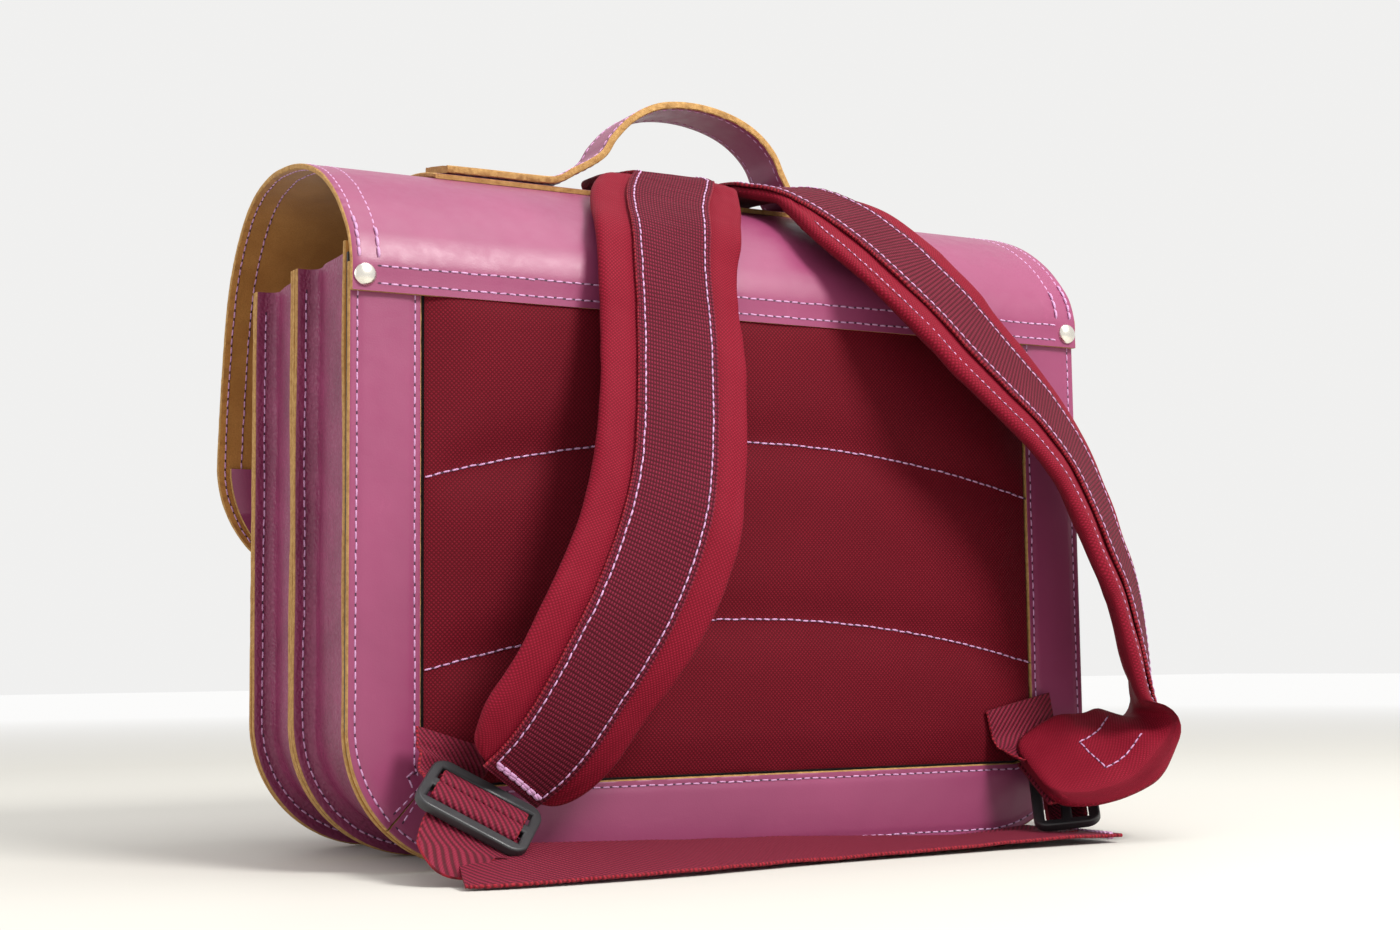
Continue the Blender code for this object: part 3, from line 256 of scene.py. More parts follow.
def woven(name, light, dark, period_u, period_v, turn, depth, sheen, cloud_share=0.5):
    """Woven cloth: raised yarns on a grid, with painted shade in the gaps between them, and a soft sheen."""
    look = Look(name, 0.72, Sheen_Weight=sheen, Sheen_Roughness=0.4, Specular_IOR_Level=0.12)
    look.shader.inputs["Sheen Tint"].default_value = (0.9, 0.35, 0.42, 1.0)
    where = look.coords("UV", (1, 1, 1), turn)
    warp = look.wave(where, period_u, "X", 0.15)
    weft = look.wave(where, period_v, "Y", 0.15)
    yarn = look.math("MULTIPLY", warp, weft)
    loose = look.noise(look.coords(), 26, 4)
    # painted shade: the dark colour fills the gaps between the raised yarns, the light one lies on the yarns
    colour = look.mix(look.span(yarn, 0.0, 0.62), dark, light)
    colour = look.mix(look.span(loose, 0.35, 0.75, 0.0, cloud_share), colour, dark)
    look.bump(yarn, depth, 0.9)
    look.bump(look.noise(look.coords(), 2600, 2), 0.00008, 0.5)
    return look.done(colour)


def ribbed(name, light, dark, period, turn, depth):
    """Webbing with strong ribs across or aslant, and finer yarns along them, with painted shade in the
    grooves between them.
    """
    look = Look(name, 0.70, Sheen_Weight=0.04, Sheen_Roughness=0.4, Specular_IOR_Level=0.25)
    look.shader.inputs["Sheen Tint"].default_value = (0.9, 0.35, 0.5, 1.0)
    where = look.coords("UV", (1, 1, 1), turn)
    rib = look.wave(where, period, "Y", 0.10)
    yarn = look.wave(where, period * 0.62, "X", 0.15)
    # painted shade: the dark colour fills the grooves between the ribs, and the next line darkens the gaps
    # between the finer yarns
    colour = look.mix(look.span(rib, 0.1, 0.75), dark, light)
    colour = look.mix(look.span(yarn, 0.0, 0.5, 0.35, 0.0), colour, dark)
    look.bump(rib, depth, 0.9)
    look.bump(yarn, depth * 0.35, 0.8)
    return look.done(colour)


def thread(name, light, dark):
    look = Look(name, 0.55, Sheen_Weight=0.2)
    where = look.coords("Object")
    ply = look.wave(look.coords("Object", (1, 1, 1), 0.7), 0.0009, "DIAGONAL")
    colour = look.mix(look.span(look.noise(where, 160, 3), 0.3, 0.7), dark, light)
    look.bump(ply, 0.00012, 0.6)
    return look.done(colour)


def plated(name, colour, roughness):
    """Nickel plate with a faint haze and hairline scratches."""
    look = Look(name, roughness, 1.0)
    where = look.coords("Object")
    haze = look.noise(where, 240, 4)
    scratch = look.noise(look.coords("Object", (1, 1, 9)), 700, 3, 0.7)
    tint = look.mix(look.span(haze, 0.3, 0.8), colour, tuple(c * 0.82 for c in colour))
    look.bump(scratch, 0.00003, 0.4)
    return look.done(tint, look.span(haze, 0.3, 0.7, roughness * 0.7, roughness * 1.4))


def moulded(name, colour):
    """Satin plastic with a fine spark texture."""
    look = Look(name, 0.42, Specular_IOR_Level=0.5)
    where = look.coords("Object")
    tint = look.mix(look.span(look.noise(where, 60, 3), 0.3, 0.7), colour, tuple(c * 1.5 for c in colour))
    look.bump(look.noise(where, 1900, 3, 0.6), 0.00006, 0.6)
    return look.done(tint, look.span(look.noise(where, 90, 4), 0.3, 0.7, 0.34, 0.5))


def plain_board(name):
    """Dark fibre board."""
    look = Look(name, 0.8)
    where = look.coords("Object")
    fibre = look.noise(where, 900, 4, 0.7)
    look.bump(fibre, 0.0003, 0.7)
    return look.done(look.mix(fibre, (0.010, 0.010, 0.012), (0.06, 0.05, 0.05)))


BIAS = 0.785                                # yarns run aslant, at 45 degrees
ORCHID = smooth_leather("orchid_leather", (0.270, 0.045, 0.122), (0.225, 0.036, 0.100))
PLUM = pebbled_leather("plum_leather", (0.255, 0.034, 0.108), (0.150, 0.014, 0.056))
TAN_EDGE = raw_edge("tan_edge", (0.52, 0.31, 0.115), (0.33, 0.17, 0.055))
SUEDE = suede("suede_side", (0.47, 0.215, 0.055), (0.35, 0.145, 0.032))
# the second colour of each cloth below is painted shade in the gaps between its yarns or ribs
CORDURA = woven("cordura", (0.165, 0.0035, 0.014), (0.072, 0.001, 0.005), 0.0013, 0.0013,
                BIAS, 0.00016, 0.02, 0.3)
TWILL = woven("strap_twill", (0.245, 0.006, 0.024), (0.130, 0.0025, 0.010), 0.0011, 0.0013,
              BIAS, 0.00014, 0.05, 0.2)
FLAT_WEBBING = woven("flat_webbing", (0.190, 0.013, 0.036), (0.045, 0.002, 0.006), 0.0013, 0.0019,
                     0.0, 0.00030, 0.05, 0.25)
RIBBED = ribbed("ribbed_webbing", (0.215, 0.010, 0.034), (0.070, 0.002, 0.009), 0.0020, 0.70, 0.0004)
SELVAGE = ribbed("selvage", (0.300, 0.010, 0.024), (0.110, 0.004, 0.010), 0.0016, 0.5, 0.0003)
LILAC = thread("lilac_thread", (0.60, 0.33, 0.55), (0.46, 0.22, 0.41))
# painted shade: dark discs stand for the shade inside the needle holes
HOLE_SHADE = thread("needle_hole_shade", (0.060, 0.006, 0.045), (0.030, 0.003, 0.022))
NICKEL = plated("nickel", (0.86, 0.82, 0.74), 0.24)
BLACK = moulded("black_plastic", (0.016, 0.016, 0.018))
BOARD = plain_board("stiffener_board")
LEATHER_MATS = (ORCHID, TAN_EDGE, SUEDE)    # outside, cut edge, inside
WEBBING_MATS = (RIBBED, SELVAGE, RIBBED)


# ---------------------------------------------------------------- geometry
def carry(obj, how, stands_for=()):
    """Give a piece its body and hide the nodes it replaces; a piece given a bend only has its transform baked
    in.
    """
    if len(how) == 1:
        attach(obj, how[0])
    else:
        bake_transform(obj)
    if stands_for:
        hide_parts(*stands_for)
    return obj


def place(name, data):
    """A new object in the scene."""
    obj = bpy.data.objects.new(name, data)
    bpy.context.scene.collection.objects.link(obj)
    return obj


def make_object(name, mesh, mats, smooth):
    """A mesh piece, shaded smooth up to that many degrees."""
    for mat in mats:
        mesh.materials.append(mat)
    mesh.shade_smooth()
    mesh.set_sharp_from_angle(angle=math.radians(smooth))
    return place(name, mesh)


def from_bmesh(name, bm, mats, smooth):
    mesh = bpy.data.meshes.new(name)
    bm.to_mesh(mesh)
    bm.free()
    return make_object(name, mesh, mats, smooth)


def running(points):
    """Distance along a line at each of its points."""
    lengths = [0.0]
    for a, b in zip(points, points[1:]):
        lengths.append(lengths[-1] + (Vector(b) - Vector(a)).length)
    return lengths


def bell(distance, reach):
    """A soft bump: 1 at no distance, fading over the reach."""
    return math.exp(-(distance / reach) ** 2)


def ring_of(columns, thick, bevel):
    """Closed section of a thick strip: (share across, shift, height, material)."""
    top = thick / 2
    ring = []
    for i in range(columns + 1):
        share = i / columns
        ring.append((share, bevel * (1 - 2 * share), top, 0 if i < columns else 1))
    ring.append((1.0, 0.0, top - bevel, 1))
    ring.append((1.0, 0.0, -top + bevel, 1))
    for i in range(columns + 1):
        share = 1 - i / columns
        ring.append((share, bevel * (1 - 2 * share), -top, 2 if i < columns else 1))
    ring.append((0.0, 0.0, -top + bevel, 1))
    ring.append((0.0, 0.0, top - bevel, 1))
    return ring


def strip(name, at, rows, width, thick, mats, columns=8, bevel=0.0005, relief=None, fray=0.00012,
          smooth=45):
    """A thick strip or sheet.

    at(t, s, n) gives a point: t runs along the strip, s metres across it from its
    first edge, and n metres out from its middle surface.
    """
    ring = ring_of(columns, thick, bevel)
    bm = bmesh.new()
    layer = bm.loops.layers.uv.new("UVMap")
    rings = []
    lengths = [0.0]
    previous = None
    for t in rows:
        wide = width(t) if callable(width) else width
        made = []
        for share, shift, height, _ in ring:
            s = share * wide + shift
            n = height
            if relief and height > 0:
                n += relief(t, s, wide)
            spot = at(t, s, n)
            if fray and shift == 0.0:
                spot = spot + noise.noise_vector(spot * 700) * fray
            made.append((bm.verts.new(spot), s))
        middle = at(t, wide / 2, 0)
        if previous is not None:
            lengths.append(lengths[-1] + (middle - previous).length)
        previous = middle
        rings.append(made)
    count = len(ring)
    for i in range(len(rings) - 1):
        for j in range(count):
            k = (j + 1) % count
            corners = [(rings[i][j], lengths[i]), (rings[i][k], lengths[i]),
                       (rings[i + 1][k], lengths[i + 1]), (rings[i + 1][j], lengths[i + 1])]
            face = bm.faces.new([c[0][0] for c in corners])
            face.material_index = ring[j][3] if len(mats) > 1 else 0
            for loop, (vert, v) in zip(face.loops, corners):
                loop[layer].uv = (vert[1], v)
    for made in (rings[0][::-1], rings[-1]):
        face = bm.faces.new([v for v, _ in made])
        face.material_index = 1 if len(mats) > 1 else 0
    bmesh.ops.recalc_face_normals(bm, faces=bm.faces)
    return from_bmesh(name, bm, mats, smooth)


def spread(count, start=0.0, end=1.0):
    """Evenly spaced values, both ends among them."""
    return [start + (end - start) * i / count for i in range(count + 1)]


def arc(x, z, radius, start, end, count=24):
    """Points of an arc round (x, z), from one angle to another in degrees."""
    angles = [math.radians(a) for a in spread(count, start, end)]
    return [(x + radius * math.cos(a), z + radius * math.sin(a)) for a in angles]


def rounded(x, z, half_w, half_h, corner, count):
    """Outline of a rectangle round (x, z) with round corners."""
    outline = []
    for sx, sz, start in ((1, 1, 0), (-1, 1, 90), (-1, -1, 180), (1, -1, 270)):
        outline += arc(x + sx * (half_w - corner), z + sz * (half_h - corner), corner,
                       start, start + 90, count)
    return outline


def tub_outline(half, floor, top, radius):
    """A panel with square top corners and round bottom corners."""
    points = [(half, top)]
    points += arc(half - radius, floor + radius, radius, 0, -90)
    points += arc(-half + radius, floor + radius, radius, -90, -180)
    points.append((-half, top))
    return points


def plate(name, outline, y_low, y_high, mats):
    """A flat piece standing in the XZ plane with rounded, fibrous rims."""
    dense = []
    for (x0, z0), (x1, z1) in zip(outline, outline[1:] + outline[:1]):
        steps = max(1, int(math.hypot(x1 - x0, z1 - z0) / 0.004))
        for i in range(steps):
            x = x0 + (x1 - x0) * i / steps
            z = z0 + (z1 - z0) * i / steps
            shake = noise.noise(Vector((x, z, y_low)) * 600) * 0.00018
            dense.append((x + shake, z + shake))
    bm = bmesh.new()
    verts = [bm.verts.new((x, y_low, z)) for x, z in dense]
    face = bm.faces.new(verts)
    grown = bmesh.ops.extrude_face_region(bm, geom=[face])
    moved = [g for g in grown["geom"] if isinstance(g, bmesh.types.BMVert)]
    bmesh.ops.translate(bm, vec=(0, y_high - y_low, 0), verts=moved)
    bmesh.ops.recalc_face_normals(bm, faces=bm.faces)
    rims = [e for e in bm.edges if len(e.link_faces) == 2
            and any(len(f.verts) > 4 for f in e.link_faces)]
    bmesh.ops.bevel(bm, geom=rims, offset=0.0004, segments=2, affect="EDGES", profile=0.5)
    layer = bm.loops.layers.uv.new("UVMap")
    for face in bm.faces:
        flat = abs(face.normal.y) > 0.98
        outer = face.normal.y * (1 if (y_low + y_high) > 0 else -1) > 0
        face.material_index = (0 if outer else len(mats) - 1) if flat else 1
        for loop in face.loops:
            loop[layer].uv = (loop.vert.co.x, loop.vert.co.z)
    return from_bmesh(name, bm, mats, 30)


# ---------------------------------------------------------------- stitching
def seam(at, path, height):
    """Points and normals along a seam; path lists (t, s)."""
    out = []
    for t, s in path:
        spot = at(t, s, height)
        out.append((spot, (at(t, s, height + 0.001) - spot).normalized()))
    return out


def edge_seams(at, width, inset, stops, height):
    """One seam along each edge of a strip; width(t) is its full width."""
    return [seam(at, [(t, s(t)) for t in stops], height)
            for s in (lambda t: inset, lambda t: width(t) - inset)]


def raised(line, lift):
    """A seam moved out along its normals."""
    return [(p + n * lift, n) for p, n in line]


CAPSULE = [(-0.50, 0.45, -0.7), (-0.40, 0.85, -0.1), (-0.18, 1.0, 0.25), (0.18, 1.0, 0.25),
           (0.40, 0.85, -0.1), (0.50, 0.45, -0.7)]     # (place along, radius, lift)
CAPSULE_SIDES = 6
THREAD_R = 0.00039


def sew(name, seams, how, pitch=STITCH_PITCH, holes=True, fill=0.80, radius=THREAD_R):
    """Thread laid in short stitches along seams, with a dark disc of painted shade for the needle hole in
    each gap.
    """
    verts = []
    faces = []
    mats = []
    for line in seams:
        lengths = running([p for p, _ in line])
        count = max(1, round(lengths[-1] / pitch))

        def spot(distance):
            index = int(np.searchsorted(lengths, distance, side="right")) - 1
            index = min(max(index, 0), len(line) - 2)
            share = (distance - lengths[index]) / max(lengths[index + 1] - lengths[index], 1e-9)
            return (line[index][0].lerp(line[index + 1][0], share),
                    line[index][1].lerp(line[index + 1][1], share).normalized())

        step = lengths[-1] / count
        for i in range(count):
            centre, up = spot(step * (i + 0.5))
            a, _ = spot(step * (i + 0.5 - fill / 2))
            b, _ = spot(step * (i + 0.5 + fill / 2))
            way = (b - a).normalized()
            side = way.cross(up).normalized()
            wander = noise.noise(centre * 900) * 0.0003
            way = (way + side * noise.noise(centre * 1300) * 0.14).normalized()
            size = step * fill
            base = len(verts)
            for place, share, lift in CAPSULE:
                for k in range(CAPSULE_SIDES):
                    angle = 2 * math.pi * k / CAPSULE_SIDES
                    verts.append(centre + way * place * size
                                 + side * (math.cos(angle) * radius * share + wander)
                                 + up * (math.sin(angle) * radius * 0.8 * share + lift * radius))
            for ring in range(len(CAPSULE) - 1):
                for k in range(CAPSULE_SIDES):
                    m = (k + 1) % CAPSULE_SIDES
                    low = base + ring * CAPSULE_SIDES
                    faces.append((low + k, low + m, low + CAPSULE_SIDES + m, low + CAPSULE_SIDES + k))
                    mats.append(0)
            faces.append(tuple(base + k for k in reversed(range(CAPSULE_SIDES))))
            faces.append(tuple(base + (len(CAPSULE) - 1) * CAPSULE_SIDES + k for k in range(CAPSULE_SIDES)))
            mats += [0, 0]
            if holes:
                # painted shade: a flat dark disc lies in each needle hole between stitches
                gap, up = spot(step * i)
                base = len(verts)
                for k in range(CAPSULE_SIDES):
                    angle = 2 * math.pi * k / CAPSULE_SIDES
                    verts.append(gap + way * math.cos(angle) * step * 0.24
                                 + side * (math.sin(angle) * radius * 1.0 + wander) + up * 0.00006)
                faces.append(tuple(base + k for k in range(CAPSULE_SIDES)))
                mats.append(1)
    mesh = bpy.data.meshes.new(name)
    mesh.from_pydata([tuple(v) for v in verts], [], faces)
    mesh.polygons.foreach_set("material_index", mats)
    return carry(make_object(name, mesh, (LILAC, HOLE_SHADE), 180), how)


# ---------------------------------------------------------------- lines and strips
def smooth_line(points, count):
    """A Catmull-Rom curve through points, with evenly spaced samples."""
    pts = [Vector(p) for p in points]
    pts = [2 * pts[0] - pts[1], *pts, 2 * pts[-1] - pts[-2]]
    dense = []
    for a, b, c, d in zip(pts, pts[1:], pts[2:], pts[3:]):
        for i in range(16):
            t = i / 16
            dense.append(0.5 * (2 * b + (c - a) * t + (2 * a - 5 * b + 4 * c - d) * t ** 2
                                + (3 * b - a - 3 * c + d) * t ** 3))
    dense.append(pts[-2])
    lengths = running(dense)
    out = []
    index = 0
    for goal in spread(count - 1, 0, lengths[-1]):
        while index < len(dense) - 2 and lengths[index + 1] < goal:
            index += 1
        span = lengths[index + 1] - lengths[index]
        out.append(dense[index].lerp(dense[index + 1], (goal - lengths[index]) / span))
    return out


def frames(route, widths, count, up=None):
    """Evenly spaced (centre, across, normal) along a route; up picks the normal's side."""
    centres = smooth_line(route, count)
    lengths = running(route)
    out = []
    for i, centre in enumerate(centres):
        tangent = (centres[min(i + 1, count - 1)] - centres[max(i - 1, 0)]).normalized()
        goal = lengths[-1] * i / (count - 1)
        k = max(j for j in range(len(widths) - 1) if lengths[j] <= goal + 1e-9)
        share = (goal - lengths[k]) / (lengths[k + 1] - lengths[k])
        across = Vector(widths[k]).lerp(Vector(widths[k + 1]), min(share, 1.0))
        across = (across - across.dot(tangent) * tangent).normalized()
        out.append((centre, across, across.cross(tangent).normalized()))
    if up is not None and out[0][2].dot(Vector(up)) < 0:
        out = [(c, w, -n) for c, w, n in out]
    return out


def on_line(stations, half):
    """at() for a strip along stations; half(t) is its half width."""
    last = len(stations) - 1

    def at(t, s, n):
        spot = min(max(t, 0.0), 1.0) * last
        index = min(int(spot), last - 1)
        share = spot - index
        c0, w0, n0 = stations[index]
        c1, w1, n1 = stations[index + 1]
        wide = half(t) if callable(half) else half
        return (c0.lerp(c1, share) + w0.lerp(w1, share).normalized() * (s - wide)
                + n0.lerp(n1, share).normalized() * n)

    return at


CLOTH_FRAMES = 20


def puff(obj, held, pressure, cap):
    """Swell a closed mesh with cloth simulation, holding some points still.

    No point moves further than cap.
    """
    group = obj.vertex_groups.new(name="held")
    group.add(held, 1.0, "REPLACE")
    cloth = obj.modifiers.new("cloth", "CLOTH")
    cloth.settings.vertex_group_mass = "held"
    cloth.settings.use_pressure = True
    cloth.settings.uniform_pressure_force = pressure
    cloth.settings.effector_weights.gravity = 0
    cloth.settings.quality = 5
    cloth.settings.mass = 0.15
    cloth.point_cache.frame_start = 1
    cloth.point_cache.frame_end = CLOTH_FRAMES
    scene = bpy.context.scene
    for step in range(1, CLOTH_FRAMES + 1):
        scene.frame_set(step)
    evaluated = obj.evaluated_get(bpy.context.evaluated_depsgraph_get())
    shaped = [v.co.copy() for v in evaluated.data.vertices]
    obj.modifiers.remove(cloth)
    obj.vertex_groups.remove(group)
    scene.frame_set(1)
    for vert, goal in zip(obj.data.vertices, shaped):
        move = goal - vert.co
        if move.length > cap:
            move = move.normalized() * cap
        vert.co = vert.co + move
    obj.data.update()


def refine(obj):
    """Apply one subdivision."""
    mod = obj.modifiers.new("fine", "SUBSURF")
    mod.levels = 1
    mod.render_levels = 1
    evaluated = obj.evaluated_get(bpy.context.evaluated_depsgraph_get())
    mesh = bpy.data.meshes.new_from_object(evaluated)
    obj.modifiers.remove(mod)
    obj.data = mesh
    mesh.shade_smooth()


# ---------------------------------------------------------------- body
BODY_TUB = (HALF, 0.0, BODY_TOP, CORNER_R)  # half width, floor, top, corner radius
POCKET_TUB = (POCKET_HALF, POCKET_FLOOR, POCKET_TOP, POCKET_CORNER)
PANEL_ROW = 0.0045                          # stitch row in from a panel's edge


def recolour(node, mat):
    """Give a carried-over node its material."""
    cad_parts[node].data.materials.clear()
    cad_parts[node].data.materials.append(mat)


def tub_point(half, floor, top, radius, inset, t):
    """A point of the U-shaped path that lies inset from a panel's edge."""
    corner = math.pi / 2 * radius
    drop = top - floor - radius
    base = 2 * (half - radius)
    stops = [drop, drop + corner, drop + corner + base, drop + 2 * corner + base]
    goal = t * (2 * drop + 2 * corner + base)
    small = radius - inset
    if goal <= stops[0]:
        return half - inset, top - goal
    if goal <= stops[1]:
        a = -(goal - stops[0]) / radius
        return half - radius + small * math.cos(a), floor + radius + small * math.sin(a)
    if goal <= stops[2]:
        return half - radius - (goal - stops[1]), floor + inset
    if goal <= stops[3]:
        a = -math.pi / 2 - (goal - stops[2]) / radius
        return -half + radius + small * math.cos(a), floor + radius + small * math.sin(a)
    return -half + inset, floor + radius + (goal - stops[3])


def channel(inset, front, rear, radius):
    """Middle line of a gusset's section, (distance in from the edge, y), densely sampled."""
    points = [(a, rear) for a in spread(6, 0.0, inset - radius)]
    points += [(inset - radius + radius * math.sin(a), rear - radius + radius * math.cos(a))
               for a in spread(7, 0, math.pi / 2)[1:]]
    web = spread(10, rear - radius, front + radius)[1:]
    deep = rear - front - 2 * radius
    for y in web:
        share = (rear - radius - y) / deep
        points.append((inset - 0.0016 * math.sin(math.pi * share), y))
    points += [(inset - radius + radius * math.cos(a), front + radius - radius * math.sin(a))
               for a in spread(7, 0, math.pi / 2)[1:]]
    points += [(a, front) for a in spread(6, inset - radius, 0.0)[1:]]
    return [Vector((a, b, 0)) for a, b in points]


def gusset(name, tub, inset, front, rear):
    """Folded leather gusset with soft creases beside its folds."""
    line = smooth_line([(p.x, p.y, 0) for p in channel(inset, front, rear, FOLD_R)], 61)
    lengths = running(line)
    wide = lengths[-1]

    def at(t, s, n):
        index = min(max(int(np.searchsorted(lengths, s, side="right")) - 1, 0), len(line) - 2)
        share = (s - lengths[index]) / (lengths[index + 1] - lengths[index])
        spot = line[index].lerp(line[index + 1], min(max(share, 0), 1))
        way = (line[min(index + 2, len(line) - 1)] - line[max(index - 1, 0)]).normalized()
        deep = spot.x + way.y * n
        y = spot.y - way.x * n
        along = t * 0.86
        fold = min(abs(s - inset), abs(wide - inset - s))
        weight = bell(fold, 0.010)
        crease = noise.noise(Vector((s * 260, along * 26, tub[0] * 40)))
        deep += weight * crease * 0.0007
        deep += noise.noise(Vector((s * 60, along * 14, rear * 90))) * 0.0007 * (1 if fold > 0.006 else 0.4)
        x, z = tub_point(*tub, deep, t)
        return Vector((x, y, z))

    piece = strip(name + "_shell", at, spread(260), wide, LEATHER, (PLUM, TAN_EDGE, SUEDE), columns=46,
                  smooth=60)
    carry(piece, ROOT, (name,))
    rows = edge_seams(at, lambda t: wide, PANEL_ROW, spread(220, 0.012, 0.988), LEATHER / 2 + FINE)
    sew(name + "_thread", rows, ROOT)


def build_body():
    """Panels, gussets and the stiffener."""
    mid = LEATHER / 2
    for name, tub, inset in (("rear_gusset", BODY_TUB, FLANGE), ("front_gusset", BODY_TUB, FLANGE),
                             ("front_pocket_gusset", POCKET_TUB, POCKET_FLANGE)):
        low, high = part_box(name)
        gusset(name, tub, inset, low.y + mid, high.y - mid)
    for name, tub, slot in (("divider_panel", BODY_TUB, "plum_leather"),
                            ("front_panel", BODY_TUB, "orchid_leather"),
                            ("front_pocket_panel", POCKET_TUB, "orchid_leather")):
        low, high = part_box(name)
        piece = plate(name + "_skin", tub_outline(*tub), low.y, high.y, LEATHER_MATS)
        carry(piece, ROOT, (name,))

    def panel_seam(name, tub, count):
        """Seam round the front face of a panel."""
        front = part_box(name)[0].y

        def at(t, s, n):
            x, z = tub_point(*tub, s, t)
            return Vector((x, front - n, z))

        return seam(at, [(t, PANEL_ROW) for t in spread(count, 0.01, 0.99)], FINE)

    lines = [panel_seam("front_pocket_panel", POCKET_TUB, 160)]
    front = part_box("front_pocket_panel")[0].y
    for drop in (0.004, 0.010):
        lines.append([(Vector((x, front - FINE, POCKET_TOP - drop)), Vector((0, -1, 0)))
                      for x in spread(30, -POCKET_HALF + 0.008, POCKET_HALF - 0.008)])
    sew("pocket_thread", lines, ROOT)
    sew("front_thread", [panel_seam("front_panel", BODY_TUB, 200)], ROOT)
    recolour("back_stiffener", BOARD)


# ---------------------------------------------------------------- back frame
OUTER_CORNER = math.pi / 2 * CORNER_R       # lengths of the frame's outer edge: corner, side, bottom
RAIL_DROP = FRAME_TOP - CORNER_R
RAIL_FLAT = HALF - CORNER_R
RAIL_LENGTH = RAIL_DROP + OUTER_CORNER + RAIL_FLAT
MITRE = (RAIL_DROP + OUTER_CORNER / 2) / RAIL_LENGTH
MITRE_GAP = 0.0011
OUTER_ROW = 0.0036
INNER_ROW = 0.0030


def rail_edges(t):
    """Outer and inner edge of the frame: t is 0 at the top, 1 at the bottom middle, then mirrored."""
    goal = (t if t <= 1.0 else 2.0 - t) * RAIL_LENGTH
    if goal <= RAIL_DROP:
        z = FRAME_TOP - goal
        share = goal / RAIL_DROP
        inner_z = FRAME_TOP + (WINDOW_Z + WINDOW_R - FRAME_TOP) * share
        return (HALF, z), (WINDOW_X, inner_z)
    if goal <= RAIL_DROP + OUTER_CORNER:
        a = -(goal - RAIL_DROP) / CORNER_R
        outer = (HALF - CORNER_R + CORNER_R * math.cos(a), CORNER_R + CORNER_R * math.sin(a))
        inner = (WINDOW_X - WINDOW_R + WINDOW_R * math.cos(a), WINDOW_Z + WINDOW_R + WINDOW_R * math.sin(a))
        return outer, inner
    share = (goal - RAIL_DROP - OUTER_CORNER) / RAIL_FLAT
    return (RAIL_FLAT * (1 - share), 0.0), ((WINDOW_X - WINDOW_R) * (1 - share), WINDOW_Z)


def frame_relief(t, s, wide):
    """Soft swell between the two stitch rows, drawn down along them."""
    rows = (OUTER_ROW, wide - INNER_ROW)
    dent = sum(bell(s - row, 0.0016) for row in rows)
    edge = min(s, wide - s)
    swell = 0.00035 * math.sin(math.pi * min(max(s / wide, 0), 1))
    return swell - 0.00045 * dent - 0.0004 * bell(edge, 0.0009)


def frame_at(side, y):
    def at(t, s, n):
        outer, inner = rail_edges(t)
        mirror = side if t <= 1.0 else -side
        wide = math.hypot(outer[0] - inner[0], outer[1] - inner[1])
        share = s / wide
        x = outer[0] + (inner[0] - outer[0]) * share
        z = outer[1] + (inner[1] - outer[1]) * share
        return Vector((mirror * x, y + n, z))

    return at


def frame_width(t):
    outer, inner = rail_edges(t)
    return math.hypot(outer[0] - inner[0], outer[1] - inner[1])


def frame_seam(at, count, first, last, inner):
    """Seam along the frame's inner or outer edge, following its relief."""
    path = [(t, frame_width(t) - INNER_ROW if inner else OUTER_ROW) for t in spread(count, first, last)]
    return [(p + Vector((0, frame_relief(t, s, frame_width(t)), 0)), n)
            for (t, s), (p, n) in zip(path, seam(at, path, FRAME_T / 2 + 0.00002))]


def build_frame():
    """Leather frame round the padded window: two rails and a sill, mitred."""
    low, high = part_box("back_frame_right")
    y = (low.y + high.y) / 2
    seams = []
    for side, name in SIDES:
        at = frame_at(side, y)
        rail = strip("frame_rail_" + name, at, spread(150, 0.0, MITRE - MITRE_GAP), frame_width, FRAME_T,
                     LEATHER_MATS, columns=30, bevel=0.0006, relief=frame_relief)
        carry(rail, ROOT, ("back_frame_" + name,))
        seams.append(frame_seam(at, 150, 0.004, MITRE * 0.995, False))
        seams.append(frame_seam(at, 150, 0.004, MITRE * 0.94, True))
        top = FRAME_T / 2 + 0.00002
        wide = frame_width(MITRE)
        for offset in (-0.0075, 0.0085):
            path = [(MITRE + offset, s) for s in spread(12, 0.007, wide - 0.004)]
            seams.append(seam(at, path, top + 0.0002))
        box = [(MITRE - 0.052, wide * 0.905), (MITRE - 0.052, wide * 0.78), (MITRE - 0.016, wide * 0.70)]
        seams.append(seam(at, box, top + 0.0003))
    at = frame_at(1, y)
    stops = spread(160, MITRE + MITRE_GAP, 2 - MITRE - MITRE_GAP)
    sill = strip("frame_sill", at, stops, frame_width, FRAME_T, LEATHER_MATS, columns=30, bevel=0.0006,
                 relief=frame_relief)
    carry(sill, ROOT, ("back_frame_bottom",))
    for first, inner in ((MITRE * 1.012, False), (MITRE * 1.10, True)):
        seams.append(frame_seam(at, 160, first, 2 - first, inner))
    sew("frame_thread", seams, ROOT)


# ---------------------------------------------------------------- back pad
QUILT_ARCH = 0.021
QUILT_LOW = 0.080
QUILT_HIGH = 0.1585
QUILT_PRESSURE = 7.0
QUILT_CAP = 0.0042
CELL = 0.002                                # grid on which the swollen surface is looked up


def quilt_seam(x, base):
    """Height of a quilting line at x: a shallow arch."""
    share = abs(x) / WINDOW_X
    return base + QUILT_ARCH * (1 - share ** 2)


